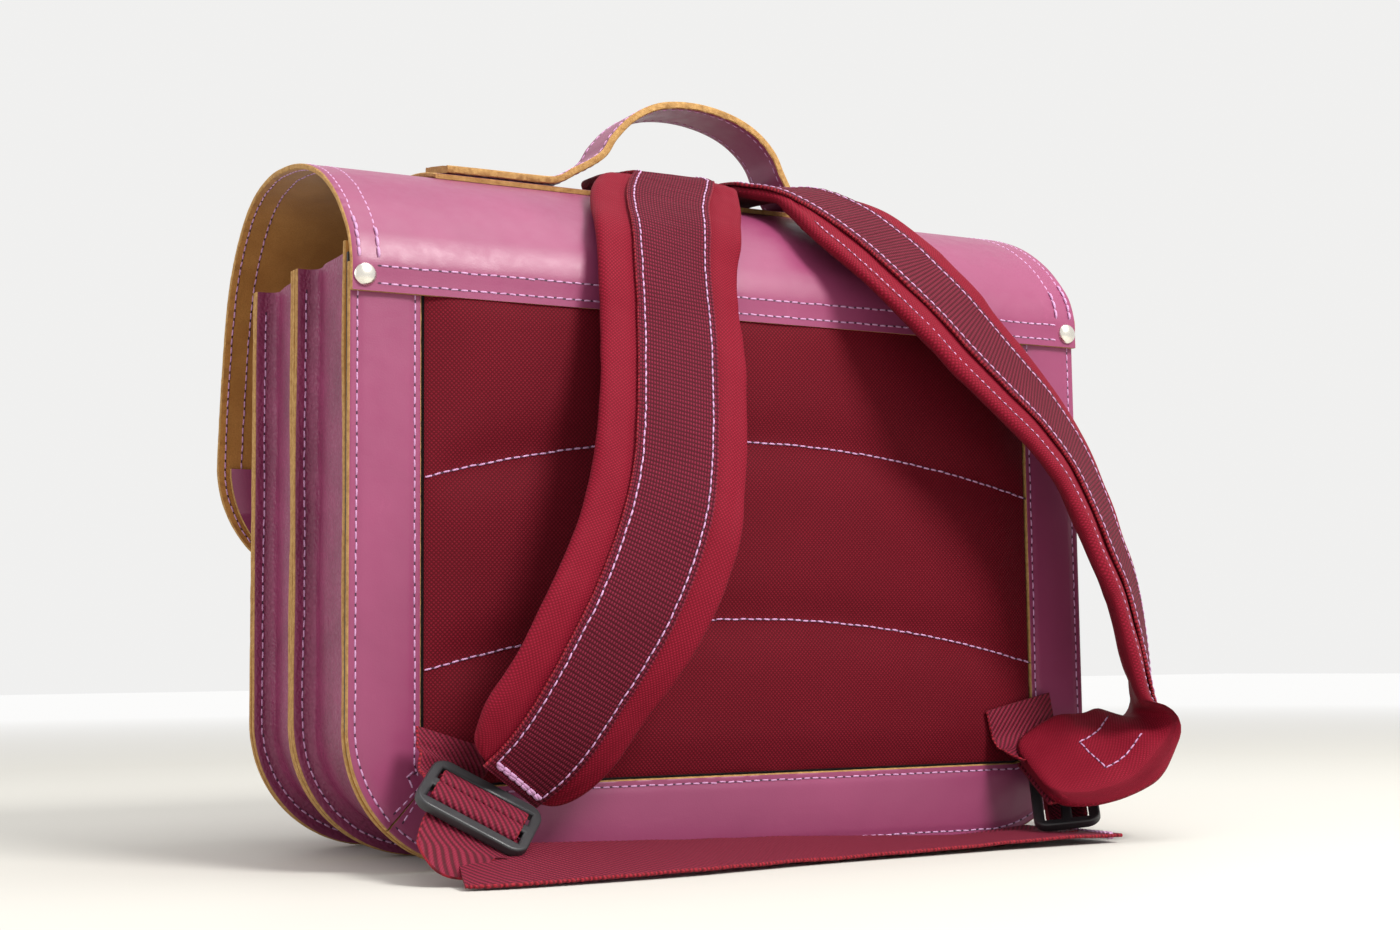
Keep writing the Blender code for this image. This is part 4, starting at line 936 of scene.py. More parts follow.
def build_back_pad():
    """Quilted cordura panel, swelled by simulation between its seams."""
    low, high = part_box("back_pad_cover")
    half = WINDOW_X + FINE
    floor = WINDOW_Z - FINE
    top = high.z
    back = low.y
    columns = 84
    rows = 60
    bm = bmesh.new()
    layer = bm.loops.layers.uv.new("UVMap")
    front = {}
    rear = {}
    for i in range(rows + 1):
        z = floor + (top - floor) * i / rows
        up = min((z - floor) / WINDOW_R, 1.0)
        wide = half - WINDOW_R * (1 - math.sqrt(max(1 - (1 - up) ** 2, 0.0)))
        for j in range(columns + 1):
            x = (2 * j / columns - 1) * wide
            rim = i in (0, rows) or j in (0, columns)
            front[i, j] = bm.verts.new((x, back + (0.0010 if rim else 0.0014), z))
            rear[i, j] = front[i, j] if rim else bm.verts.new((x, back, z))
    for i in range(rows):
        for j in range(columns):
            for grid, flip in ((front, True), (rear, False)):
                corners = [grid[i, j], grid[i, j + 1], grid[i + 1, j + 1], grid[i + 1, j]]
                face = bm.faces.new(corners[::-1] if flip else corners)
                for loop in face.loops:
                    loop[layer].uv = (loop.vert.co.x, loop.vert.co.z)
    bm.verts.index_update()
    bm.verts.ensure_lookup_table()
    rear_ids = {v.index for v in rear.values()}
    rim_ids = set()
    seam_ids = set()
    for (i, j), vert in front.items():
        if vert.index in rear_ids:
            rim_ids.add(vert.index)
            continue
        for base in (QUILT_LOW, QUILT_HIGH):
            if abs(vert.co.z - quilt_seam(vert.co.x, base)) < 0.0019:
                seam_ids.add(vert.index)
    pad = from_bmesh("back_pad", bm, (CORDURA,), 80)
    puff(pad, sorted(rear_ids | rim_ids | seam_ids), QUILT_PRESSURE, QUILT_CAP)
    for vert in pad.data.vertices:
        if vert.index in rear_ids:
            continue
        x, y, z = vert.co
        edge = min(half - abs(x), z - floor, top - z)
        near = min(abs(z - quilt_seam(x, base)) for base in (QUILT_LOW, QUILT_HIGH))
        swell = 0.0022 * (1 - bell(near, 0.011)) * min(max(edge / 0.016, 0), 1)
        swell += 0.0006 * noise.noise(Vector((x * 38, z * 24, 3.0)))
        swell += 0.0005 * noise.noise(Vector((x * 130, z * 60, 7.0))) * bell(near, 0.012)
        vert.co.y = y + max(swell, -0.0004)
    refine(pad)
    pad.data.update()
    carry(pad, ROOT, ("back_pad_cover", "back_pad_foam"))
    tops = {}
    for vert in pad.data.vertices:
        key = (round(vert.co.x / CELL), round(vert.co.z / CELL))
        tops[key] = max(vert.co.y, tops.get(key, -1))
    lines = []
    for base in (QUILT_LOW, QUILT_HIGH):
        line = []
        for x in spread(150, -half + 0.001, half - 0.001):
            z = quilt_seam(x, base)
            near = [tops[k] for dx in (-1, 0, 1) for dz in (-1, 0, 1)
                    if (k := (round(x / CELL) + dx, round(z / CELL) + dz)) in tops]
            y = sum(near) / len(near) if near else back
            line.append((Vector((x, y + FINE, z)), Vector((0, 1, 0))))
        smoothed = []
        for i, (spot, up) in enumerate(line):
            window = [line[k][0].y for k in range(max(0, i - 3), min(len(line), i + 4))]
            smoothed.append((Vector((spot.x, sum(window) / len(window) + FINE, spot.z)), up))
        lines.append(smoothed)
    sew("quilt_thread", lines, ROOT, pitch=0.0040, radius=0.0004)


# ---------------------------------------------------------------- flap
FLAP_PROFILE = [
    (0.0777, 0.2335), (0.0777, 0.2400), (0.0777, 0.2460), (0.0755, 0.2545), (0.0710, 0.2625),
    (0.0580, 0.2765), (0.0400, 0.2890), (0.0200, 0.2975), (0.0000, 0.3025), (-0.0200, 0.3050),
    (-0.0380, 0.3055), (-0.0600, 0.3020), (-0.0780, 0.2935), (-0.0940, 0.2790), (-0.1050, 0.2620),
    (-0.1120, 0.2400), (-0.1180, 0.2100), (-0.1220, 0.1810), (-0.1236, 0.1500), (-0.1240, FLAP_BOTTOM),
]
PROFILE = smooth_line([(0.0, y, z) for y, z in FLAP_PROFILE], 361)
PROFILE_LENGTH = running(PROFILE)[-1]


def profile_at(t):
    """Point and outward normal of the flap's outside at share t of its length."""
    spot = min(max(t, 0.0), 1.0) * (len(PROFILE) - 1)
    index = min(int(spot), len(PROFILE) - 2)
    point = PROFILE[index].lerp(PROFILE[index + 1], spot - index)
    way = (PROFILE[min(index + 3, len(PROFILE) - 1)] - PROFILE[max(index - 2, 0)]).normalized()
    return point, Vector((0, way.z, -way.y))


def profile_t(test):
    """Share of the profile's length where test first holds."""
    for i, point in enumerate(PROFILE):
        if test(i / (len(PROFILE) - 1), point):
            return i / (len(PROFILE) - 1)
    return 1.0


def flap_half(t):
    point, _ = profile_at(t)
    up = FLAP_BOTTOM + FLAP_CORNER - point.z
    if t < 0.5 or up <= 0:
        return HALF
    depth = min(up / FLAP_CORNER, 1.0)
    return HALF - FLAP_CORNER * (1 - math.sqrt(max(1 - depth * depth, 0.0)))


def on_flap(lift, half, middle=0.0):
    """at() for a sheet on the flap, lift above its outside."""

    def at(t, s, n):
        point, up = profile_at(t)
        wide = half(t) if callable(half) else half
        spot = point + up * (lift + n)
        return Vector((middle + wide - s, spot.y, spot.z))

    return at


SIDE_ROWS = (0.0034, 0.0116)
BAND_ROWS = (0.0032, 0.0104)


def flap_relief(t, s, wide):
    edge = min(s, wide - s)
    dent = sum(bell(edge - row, 0.0012) for row in SIDE_ROWS)
    return -0.00022 * dent


def build_flap():
    """One leather sheet from the band on the back over the top to the front."""
    corner = profile_t(lambda t, p: t > 0.5 and p.z < FLAP_BOTTOM + FLAP_CORNER)
    rows = spread(170, 0.0, corner)
    for depth in spread(40, 0, math.pi / 2)[1:]:
        rows.append(corner + (1 - corner) * math.sin(depth))
    at = on_flap(-FLAP_T / 2, flap_half)
    flap = strip("flap_leather", at, rows, lambda t: 2 * flap_half(t), FLAP_T, LEATHER_MATS, columns=80,
                 relief=flap_relief)
    carry(flap, FLAP_BEND, ("flap_rear_cover", "flap_front"))
    seams = []
    under = []
    first = 0.013 / PROFILE_LENGTH
    for inset in SIDE_ROWS:
        for side in (0, 1):
            path = []
            for t in spread(420, first, 1.0):
                half = flap_half(t)
                if half < HALF - FLAP_CORNER * 0.96:
                    break
                near = inset + (HALF - half) * 0.02
                path.append((t, near if side == 0 else 2 * half - near))
            line = seam(at, path, FLAP_T / 2)
            seams.append(raised(line, -0.00018))
            under.append([(p - n * (FLAP_T + FINE), -n) for p, n in line])
    for row in BAND_ROWS:
        t = row / PROFILE_LENGTH
        path = [(t, s) for s in spread(90, 0.012, 2 * HALF - 0.012)]
        seams.append(raised(seam(at, path, FLAP_T / 2), 0.00002))
    for inset in SIDE_ROWS:
        t = 1.0 - inset / PROFILE_LENGTH
        reach = HALF - FLAP_CORNER * 0.72
        path = [(t, flap_half(t) - x) for x in spread(60, -reach, reach)]
        seams.append(seam(at, path, FLAP_T / 2))
    sew("flap_thread", seams, FLAP_BEND)
    sew("flap_thread_under", under, FLAP_BEND)
    ends = []
    for side in (1, -1):
        for inset, top in zip(SIDE_ROWS, (0.034, 0.022)):
            x = side * (HALF - inset)
            line = []
            for t in spread(6, first + 0.002, first + top / PROFILE_LENGTH / 2 + 0.012):
                p, up = profile_at(t)
                line.append((Vector((x, p.y, p.z)) + up * 0.0003, up))
            ends.append(line)
    sew("flap_backtack", ends, ROOT, radius=0.0007, fill=0.95, holes=False)
    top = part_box("flap_facing")[1].z
    start = profile_t(lambda t, p: t > 0.5 and p.z < top + 0.002)

    def facing_half(t):
        return flap_half(t) - 0.0055

    facing_at = on_flap(-FLAP_T - 0.0014, facing_half)
    stops = [start + (0.994 - start) * math.sin(a) for a in spread(40, 0, math.pi / 2)]
    facing = strip("flap_lining", facing_at, stops, lambda t: 2 * facing_half(t), 0.0016,
                   (SUEDE, TAN_EDGE, ORCHID), columns=30)
    carry(facing, ("flap",), ("flap_facing",))


def build_rivets():
    """Domed nickel rivets with a washer inside."""
    for _, name in SIDES:
        low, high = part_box("rivet_" + name)
        x = (low.x + high.x) / 2
        z = (low.z + high.z) / 2
        radius = (high.x - low.x) / 2
        rise = 0.0026
        face = high.y - rise
        profile = [(0.0, high.y), *[(radius * math.sin(a), face + rise * math.cos(a))
                                    for a in spread(10, 0, math.pi / 2)[1:]],
                   (radius * 0.96, face - 0.0004), (0.0013, face - 0.0004), (0.0013, low.y + 0.0010),
                   (0.0024, low.y + 0.0008), (0.0024, low.y), (0.0, low.y)]
        mesh = bpy.data.meshes.new("rivet_dome_" + name)
        verts = []
        faces = []
        sides = 40
        for r, y in profile:
            for k in range(sides):
                a = 2 * math.pi * k / sides
                verts.append((x + max(r, 1e-5) * math.cos(a), y, z + max(r, 1e-5) * math.sin(a)))
        for i in range(len(profile) - 1):
            for k in range(sides):
                m = (k + 1) % sides
                faces.append((i * sides + k, i * sides + m, (i + 1) * sides + m, (i + 1) * sides + k))
        mesh.from_pydata(verts, [], faces)
        obj = make_object("rivet_dome_" + name, mesh, (NICKEL,), 50)
        carry(obj, ROOT, ("rivet_" + name,))


# ---------------------------------------------------------------- handle
HANDLE_LINE = [
    (0.0500, 0.3098), (0.0418, 0.3190), (0.0352, 0.3285), (0.0262, 0.3380), (0.0150, 0.3448),
    (0.0040, 0.3478), (-0.0100, 0.3484), (-0.0240, 0.3464), (-0.0358, 0.3424), (-0.0450, 0.3366),
    (-0.0520, 0.3290), (-0.0566, 0.3195), (-0.0588, 0.3098),
]
HANDLE_ROW = 0.0032
PLATE_HALF = 0.126
PLATE_REAR = 0.0185
PLATE_FRONT = -0.0160
PATCH_LIFT = 0.0013                         # middle of the base plate and the patch above the flap


def top_t(y):
    """Share of the flap's profile where its top first comes in front of y."""
    return profile_t(lambda t, p: p.z > 0.28 and p.y < y)


def build_handle():
    """Two-ply carrying handle, its sewn feet and the base plate under them."""
    at = on_flap(PATCH_LIFT, PLATE_HALF)
    base = strip("handle_base", at, spread(14, top_t(PLATE_REAR), top_t(PLATE_FRONT)), 2 * PLATE_HALF,
                 0.0022, LEATHER_MATS, columns=40)
    carry(base, ROOT, ("handle_plate",))
    lean = profile_at(top_t(HANDLE_Y))[1]
    side = Vector((0, lean.z, -lean.y))
    foot_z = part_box("handle_plate")[1].z - 0.0003
    line = [(0.1190, foot_z), (0.0980, foot_z + 0.0002), (0.0800, foot_z + 0.0002),
            (0.0660, foot_z + 0.0006), (0.0570, foot_z + 0.0030)]
    other = [(-0.1190, foot_z), (-0.0980, foot_z + 0.0002), (-0.0820, foot_z + 0.0002),
             (-0.0700, foot_z + 0.0004), (-0.0632, foot_z + 0.0020)]
    arch = line + HANDLE_LINE[1:-1] + other[::-1]
    route = [(x, HANDLE_Y, z) for x, z in arch]
    flat = tuple(side)
    widths = [flat] * 4 + [(0, 1, 0)] * (len(route) - 8) + [flat] * 4
    stations = frames(route, widths, 200, (0, 0, 1))
    half = HANDLE_W / 2
    grip_at = on_line(stations, half)

    def relief(t, s, wide):
        return -0.0003 * bell(min(s, wide - s) - HANDLE_ROW, 0.0012)

    total = running(route)[-1]
    grip = strip("handle_strap", grip_at, spread(200), HANDLE_W, HANDLE_T, (ORCHID, TAN_EDGE, ORCHID),
                 columns=14, relief=relief)
    carry(grip, HANDLE_BEND, ("handle_grip", "handle_foot_right", "handle_foot_left"))
    seams = []
    for s in (HANDLE_ROW, HANDLE_W - HANDLE_ROW):
        path = [(t, s) for t in spread(220, 0.004 / total, 1 - 0.004 / total)]
        for sign in (1, -1):
            seams.append([(p + n * sign * (HANDLE_T / 2 - 0.00015), n * sign)
                          for p, n in seam(grip_at, path, 0.0)])
    sew("handle_thread", seams, HANDLE_BEND)
    feet = []
    for first, last in ((0.008, 0.05), (total - 0.05, total - 0.008)):
        for cross in (first, last):
            path = [(cross / total, s) for s in spread(6, 0.004, HANDLE_W - 0.004)]
            feet.append(raised(seam(grip_at, path, 0.0), HANDLE_T / 2 - FINE))
    sew("handle_foot_thread", feet, ROOT)
    low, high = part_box("strap_anchor_patch")
    start = top_t(high.y)
    end = top_t(low.y)
    patch_half = (high.x - low.x) / 2
    patch_at = on_flap(PATCH_LIFT, patch_half, (high.x + low.x) / 2)
    patch = strip("anchor_patch", patch_at, spread(12, start, end), 2 * patch_half, 0.0020, LEATHER_MATS,
                  columns=20)
    carry(patch, ROOT, ("strap_anchor_patch",))
    lines = []
    gap = (end - start) * 0.14
    for t in (start + gap, end - gap):
        lines.append(seam(patch_at, [(t, s) for s in spread(30, 0.003, 2 * patch_half - 0.003)], 0.0010))
    for s in (0.003, 2 * patch_half - 0.003):
        lines.append(seam(patch_at, [(t, s) for t in spread(10, start + gap, end - gap)], 0.0010))
    sew("anchor_thread", lines, ROOT)


# ---------------------------------------------------------------- shoulder straps
RIGHT_ROUTE = [
    (0.0100, -0.0160, 0.3155), (0.0100, 0.0040, 0.3145), (0.0110, 0.0220, 0.3117),
    (0.0122, 0.0300, 0.3090), (0.0200, 0.0440, 0.3030), (0.0320, 0.0620, 0.2895),
    (0.0400, 0.0800, 0.2720),
    (0.0449, 0.0912, 0.2494), (0.0478, 0.0995, 0.2267), (0.0519, 0.1080, 0.2044),
    (0.0564, 0.1160, 0.1821), (0.0609, 0.1220, 0.1622), (0.0664, 0.1265, 0.1447),
    (0.0747, 0.1290, 0.1242), (0.0847, 0.1295, 0.1036), (0.0937, 0.1275, 0.0871),
    (0.1024, 0.1240, 0.0715), (0.1109, 0.1190, 0.0560), (0.1195, 0.1130, 0.0434),
    (0.1285, 0.1070, 0.0339),
]
RIGHT_ACROSS = [
    (1.0, 0.0, 0.0), (1.0, 0.0, 0.0), (1.0, 0.0, 0.0), (1.0, 0.0, -0.02), (0.98, 0.10, -0.12),
    (0.96, 0.15, -0.20), (0.97, 0.15, -0.20), (0.98, 0.13, -0.13), (0.99, 0.08, -0.13), (0.99, 0.07, -0.12),
    (1.0, 0.04, -0.05), (1.0, 0.0, 0.03), (0.99, -0.06, 0.07), (0.98, -0.05, 0.14),
    (0.98, 0.0, 0.21), (0.94, 0.09, 0.33), (0.89, 0.20, 0.40), (0.80, 0.28, 0.52),
    (0.73, 0.38, 0.56), (0.69, 0.47, 0.55),
]
LEFT_ROUTE = [
    (-0.0383, -0.0160, 0.3155), (-0.0383, 0.0040, 0.3145), (-0.0383, 0.0220, 0.3117),
    (-0.0390, 0.0300, 0.3095), (-0.0490, 0.0460, 0.3050), (-0.0620, 0.0640, 0.2925),
    (-0.0745, 0.0805, 0.2755),
    (-0.0825, 0.0912, 0.2622), (-0.0965, 0.0995, 0.2452), (-0.1075, 0.1035, 0.2320),
    (-0.1259, 0.1065, 0.2136), (-0.1424, 0.1075, 0.1985), (-0.1590, 0.1090, 0.1775),
    (-0.1701, 0.1115, 0.1540), (-0.1772, 0.1130, 0.1352), (-0.1843, 0.1135, 0.1194),
    (-0.1888, 0.1140, 0.1016), (-0.1935, 0.1130, 0.0818), (-0.1965, 0.1120, 0.0650),
    (-0.1945, 0.1125, 0.0520), (-0.1825, 0.1130, 0.0430), (-0.1640, 0.1110, 0.0345),
    (-0.1475, 0.1065, 0.0285), (-0.1330, 0.1010, 0.0245),
]
LEFT_ACROSS = [
    (-1.0, 0.0, 0.0), (-1.0, 0.0, 0.0), (-1.0, 0.0, 0.0), (-1.0, -0.05, 0.02), (-0.90, -0.35, 0.20),
    (-0.80, -0.48, 0.36), (-0.75, -0.51, 0.43), (-0.69, -0.52, 0.50), (-0.67, -0.52, 0.53),
    (-0.63, -0.53, 0.57),
    (-0.65, -0.57, 0.50), (-0.66, -0.60, 0.45), (-0.70, -0.63, 0.35), (-0.71, -0.64, 0.29),
    (-0.74, -0.66, 0.20), (-0.72, -0.67, 0.18), (-0.70, -0.69, 0.14), (-0.66, -0.73, 0.12),
    (-0.58, -0.75, 0.28), (-0.50, -0.75, 0.44), (-0.45, -0.70, 0.56), (-0.45, -0.68, 0.58),
    (-0.47, -0.70, 0.54), (-0.49, -0.73, 0.48),
]
PAD_PRESSURE = 5.0
PAD_CAP = 0.0022
PAD_END_SHARE = 0.07
PAD_END_HALF = 0.021
FOLD_LINE = 0.0052                          # sewn lip along the pad's inner edge
WEB_ROW = 0.0032
BOX_HALF = 0.011                            # box stitching on the turned-under end


def pad_half(head, t):
    """Half width: narrow head, full pad, blunt end; the left pad is pinched where it folds under."""
    grow = min(max((t - 0.11) / 0.12, 0.0), 1.0)
    wide = head + (PAD_W / 2 - head) * grow * grow * (3 - 2 * grow)
    if head < 0.02:
        wide *= 1 - 0.26 * bell(t - 0.87, 0.045)
    if t <= 1 - PAD_END_SHARE:
        return wide
    s = (t - (1 - PAD_END_SHARE)) / PAD_END_SHARE
    return PAD_END_HALF + (wide - PAD_END_HALF) * math.sqrt(max(1 - s * s, 0.0))


def build_strap(name, route, across, head):
    """Padded shoulder strap with webbing sewn along its outer face."""
    count = 110
    stations = frames(route, across, count, (0, 0, 1))
    total = running(route)[-1]
    top_columns = 26
    under_columns = 14
    rim_steps = 4
    upper = -WEB_T - 0.0003
    bm = bmesh.new()
    layer = bm.loops.layers.uv.new("UVMap")
    rings = []
    held = []
    kind = []
    for i, (centre, way, up) in enumerate(stations):
        t = i / (count - 1)
        half = pad_half(head, t)
        thin = PAD_T * (0.72 if t < 0.14 else 1.0)
        rim = min(thin / 2, half * 0.45)
        ring = []
        for j in range(top_columns + 1):
            share = 1 - 2 * j / top_columns
            ring.append((share * (half - rim), upper, "top"))
        for k in range(1, rim_steps):
            a = math.pi / 2 - math.pi * k / rim_steps
            ring.append((-(half - rim) - rim * math.cos(a), upper - thin / 2 + thin / 2 * math.sin(a), "rim"))
        for j in range(under_columns + 1):
            share = -1 + 2 * j / under_columns
            ring.append((share * (half - rim), upper - thin, "under"))
        for k in range(1, rim_steps):
            a = -math.pi / 2 + math.pi * k / rim_steps
            ring.append(((half - rim) + rim * math.cos(a), upper - thin / 2 + thin / 2 * math.sin(a), "rim"))
        made = []
        for w, n, part in ring:
            vert = bm.verts.new(centre + way * w + up * n)
            made.append((vert, w, part))
        rings.append(made)
    size = len(rings[0])
    bm.verts.index_update()
    for i, made in enumerate(rings):
        for vert, w, part in made:
            if part == "top" and abs(w) < WEB_W / 2 + 0.0006:
                held.append(vert.index)
            if i in (0, count - 1) or i < count * 0.10:
                held.append(vert.index)
            if part == "rim" and abs(w) >= max(abs(x[1]) for x in made) - 1e-6:
                held.append(vert.index)
            kind.append((part, w, i / (count - 1)))
    for i in range(count - 1):
        v0 = total * i / (count - 1)
        v1 = total * (i + 1) / (count - 1)
        for j in range(size):
            k = (j + 1) % size
            corners = [(rings[i][j], v0, j), (rings[i][k], v0, j + 1), (rings[i + 1][k], v1, j + 1),
                       (rings[i + 1][j], v1, j)]
            face = bm.faces.new([c[0][0] for c in corners])
            for loop, (item, v, _) in zip(face.loops, corners):
                loop[layer].uv = (item[1] if item[2] != "under" else item[1] + 0.1, v)
    bm.faces.new([v for v, _, _ in rings[0]][::-1])
    bm.faces.new([v for v, _, _ in rings[-1]])
    bmesh.ops.recalc_face_normals(bm, faces=bm.faces)
    pad = from_bmesh("shoulder_pad_" + name, bm, (TWILL,), 80)
    puff(pad, sorted(set(held)), PAD_PRESSURE, PAD_CAP)
    normals = [v.normal.copy() for v in pad.data.vertices]
    for vert, normal, (part, w, t) in zip(pad.data.vertices, normals, kind):
        half = pad_half(head, t)
        move = 0.0
        inner = w + half                      # distance from the inner edge
        if part != "under" and t > 0.16:
            move -= 0.0012 * bell(inner - FOLD_LINE, 0.0011)
            move -= 0.0009 * bell(abs(w) - WEB_W / 2 - 0.0006, 0.0012)
        if part == "under":
            move += 0.0003
        along = t * total
        ripple = noise.noise(Vector((w * 45, along * 42, 11.0 if name == "right" else 4.0)))
        fine = noise.noise(Vector((w * 110, along * 120, 2.0)))
        loose = 0.0 if (part == "top" and abs(w) < WEB_W / 2) else 1.0
        move += loose * (0.0008 * ripple + 0.00035 * fine)
        if name == "left" and t > 0.80:
            fold = math.sin((t - 0.80) * 95 + 60 * w) * bell(t - 0.89, 0.05)
            move += 0.0011 * fold + 0.0012 * noise.noise(Vector((w * 70, along * 30, 9.0)))
        vert.co = vert.co + normal * move
    refine(pad)
    carry(pad, STRAP_BEND[name], ("strap_pad_" + name, "strap_head_" + name))

    narrow = min(WEB_W / 2, head - 0.002)

    def web_half(t):
        grow = min(max((t - 0.05) / 0.16, 0.0), 1.0)
        return narrow + (WEB_W / 2 - narrow) * grow

    web_at = on_line(stations, web_half)

    def ruck(t, s, wide):
        along = t * total
        bend = bell(t - 0.20, 0.10)
        return 0.0003 * noise.noise(Vector((s * 60, along * 300, 5.0))) * (0.4 + bend)

    webbing = strip("shoulder_webbing_" + name, lambda t, s, n: web_at(t, s, n - WEB_T / 2), spread(300),
                    lambda t: 2 * web_half(t), WEB_T, (FLAT_WEBBING, SELVAGE, RIBBED), 12, bevel=0.0004,
                    relief=ruck, fray=0.00025)
    carry(webbing, STRAP_BEND[name], ("strap_webbing_" + name,))
    end = 1 - (0.0045 if name == "right" else 0.016) / total
    seams = edge_seams(web_at, lambda t: 2 * web_half(t), WEB_ROW, spread(260, 0.02, end), FINE)
    sew("shoulder_thread_" + name, seams, STRAP_BEND[name], pitch=0.0040)
    tack = [seam(web_at, [(end, s) for s in spread(14, 0.0030, WEB_W - 0.0030)], 0.0003),
            seam(web_at, [(end + 0.0009 / total, s) for s in spread(14, 0.0040, WEB_W - 0.0040)], 0.0004)]
    sew("shoulder_tack_" + name, tack, STRAP_BEND[name], pitch=0.0046, radius=0.00085, fill=0.95,
        holes=False)
    if name == "left":
        pad_at = on_line(stations, lambda t: pad_half(head, t))
        path = [(t, FOLD_LINE) for t in spread(240, 0.2, 1 - PAD_END_SHARE)]
        lip = seam(pad_at, path, -WEB_T - 0.0004)
        sew("lip_thread_left", [lip], STRAP_BEND[name], pitch=0.0036, radius=0.0003, fill=0.5)
        first, last = 0.885, 0.94
        middle = PAD_W / 2 * 0.80
        corners = [(first, middle + BOX_HALF), (last, middle + BOX_HALF), (last, middle - BOX_HALF),
                   (first, middle - BOX_HALF)]
        line = []
        for (t0, s0), (t1, s1) in zip(corners, corners[1:]):
            for k in range(13):
                t = t0 + (t1 - t0) * k / 12
                s = s0 + (s1 - s0) * k / 12
                under = pad_at(t, s, -0.030)
                way = (pad_at(t, s, 0.0) - under).normalized()
                hit, spot, _, _ = pad.ray_cast(under, way)
                if hit:
                    line.append((spot - way * 0.0002, -way))
        sew("box_thread_left", [line], STRAP_BEND[name], pitch=0.0042)
    return stations


# ---------------------------------------------------------------- ladder locks
def curve_piece(name, lines, dimensions, radius, steps, cyclic, mat):
    """A curve object with one straight-sided spline for each line of points."""
    curve = bpy.data.curves.new(name, "CURVE")
    curve.dimensions = dimensions
    curve.bevel_depth = radius
    curve.bevel_resolution = steps
    for points in lines:
        spline = curve.splines.new("POLY")
        spline.points.add(len(points) - 1)
        for target, spot in zip(spline.points, points):
            target.co = (*spot, 1)
        spline.use_cyclic_u = cyclic
    curve.materials.append(mat)
    return place(name, curve)


LOCK_T = 0.0042
LOCK_LEN = 0.030
LOCK_W = 0.048
LOCK_CORNER = 0.0068
LOCK_ROUND = 0.0010
SLOT_MIDDLE = 0.0062
SLOT_HALF_W = 0.0198
SLOT_HALF_H = 0.0037
LOCKS = {
    "right": ((0.1444, 0.1124, 0.0273), (0.790, -0.379, 0.478), (0.640, 0.619, -0.452)),
    "left": ((-0.1505, 0.1010, 0.0196), (-0.47, -0.70, 0.54), (-0.88, 0.38, 0.27)),
}


def build_locks():
    """Plastic ladder locks with webbing over their middle bars."""
    for name, (centre, across, down) in LOCKS.items():
        w = Vector(across).normalized()
        d = Vector(down)
        d = (d - d.dot(w) * w).normalized()
        up = w.cross(d)
        outlines = [rounded(0, 0, LOCK_W / 2, LOCK_LEN / 2, LOCK_CORNER, 8)]
        for middle in (-SLOT_MIDDLE, SLOT_MIDDLE):
            outlines.append([(sx * SLOT_HALF_W, middle + sy * SLOT_HALF_H)
                             for sx, sy in ((-1, -1), (1, -1), (1, 1), (-1, 1))])
        flat = [[(x, y, 0) for x, y in outline] for outline in outlines]
        obj = curve_piece("lock_body_" + name, flat, "2D", LOCK_ROUND, 3, True, BLACK)
        obj.data.fill_mode = "BOTH"
        obj.data.offset = -LOCK_ROUND
        obj.data.extrude = LOCK_T / 2 - LOCK_ROUND
        obj.matrix_world = Matrix.Translation(centre) @ Matrix((w, d, up)).transposed().to_4x4()
        carry(obj, ("lock_" + name,), ("ladder_lock_" + name,))
        face = up if (up.y > 0 if name == "right" else up.z < 0) else -up
        deep = LOCK_T / 2 + 0.0009
        route = [Vector(centre) + d * a + face * deep * b
                 for a, b in ((-0.0088, -0.5), (-0.0078, 0.55), (-0.0050, 1.0), (-0.0016, 0.98), (0.0, 0.42),
                              (0.0016, 0.98), (0.0050, 1.0), (0.0078, 0.55), (0.0088, -0.5))]
        stations = frames([tuple(p) for p in route], [tuple(w)] * len(route), 60, tuple(face))
        wide = WEB_W - 0.001
        wrap = strip("lock_band_" + name, on_line(stations, wide / 2), spread(60), wide, WEB_T,
                     WEBBING_MATS, 12, fray=0.0002)
        carry(wrap, ("lock_" + name,), ("lock_webbing_" + name,))


# ---------------------------------------------------------------- loose webbing
CORNER_WEBS = {
    "right": ([(0.1425, 0.0838, 0.0530), (0.1440, 0.0850, 0.0475), (0.1455, 0.0866, 0.0420),
               (0.1462, 0.0920, 0.0350), (0.1455, 0.1010, 0.0300)],
              [(0.72, 0.05, 0.69), (0.71, 0.15, 0.66), (0.71, 0.20, 0.66), (0.77, -0.10, 0.58),
               (0.79, -0.35, 0.50)]),
    "left": ([(-0.1420, 0.0796, 0.0620), (-0.1435, 0.0796, 0.0550), (-0.1450, 0.0800, 0.0480),
              (-0.1465, 0.0830, 0.0390), (-0.1450, 0.0900, 0.0280)],
             [(-1.0, 0.0, 0.1), (-1.0, 0.0, 0.1), (-1.0, 0.0, 0.12), (-0.9, -0.3, 0.3), (-0.5, -0.7, 0.5)]),
}
TAILS = {
    "right": ([(0.1590, 0.1290, 0.0070), (0.1480, 0.1320, 0.0074), (0.1330, 0.1330, 0.0072),
               (0.0800, 0.1320, 0.0066), (0.0500, 0.1280, 0.0060), (0.0030, 0.1210, 0.0050),
               (-0.0500, 0.1180, 0.0038), (-0.0910, 0.1160, 0.0033), (-0.1250, 0.1160, 0.0036),
               (-0.1560, 0.1160, 0.0030)],
              [(-0.35, -0.90, 0.30), (-0.12, -0.94, 0.32), (0.0, -0.95, 0.30), (0.0, -1.0, 0.24),
               (0.0, -1.0, 0.20), (0.0, -1.0, 0.16), (0.0, -1.0, 0.08), *[(0.0, -1.0, 0.0)] * 3]),
    "left": ([(-0.1450, 0.0985, 0.0040), (-0.1000, 0.0985, 0.0013), (-0.0300, 0.0985, 0.0011),
              (0.0500, 0.0985, 0.0012), (0.0850, 0.0985, 0.0018), (0.1040, 0.0985, 0.0034)],
             [(0.0, -1.0, 0.0)] * 6),
}
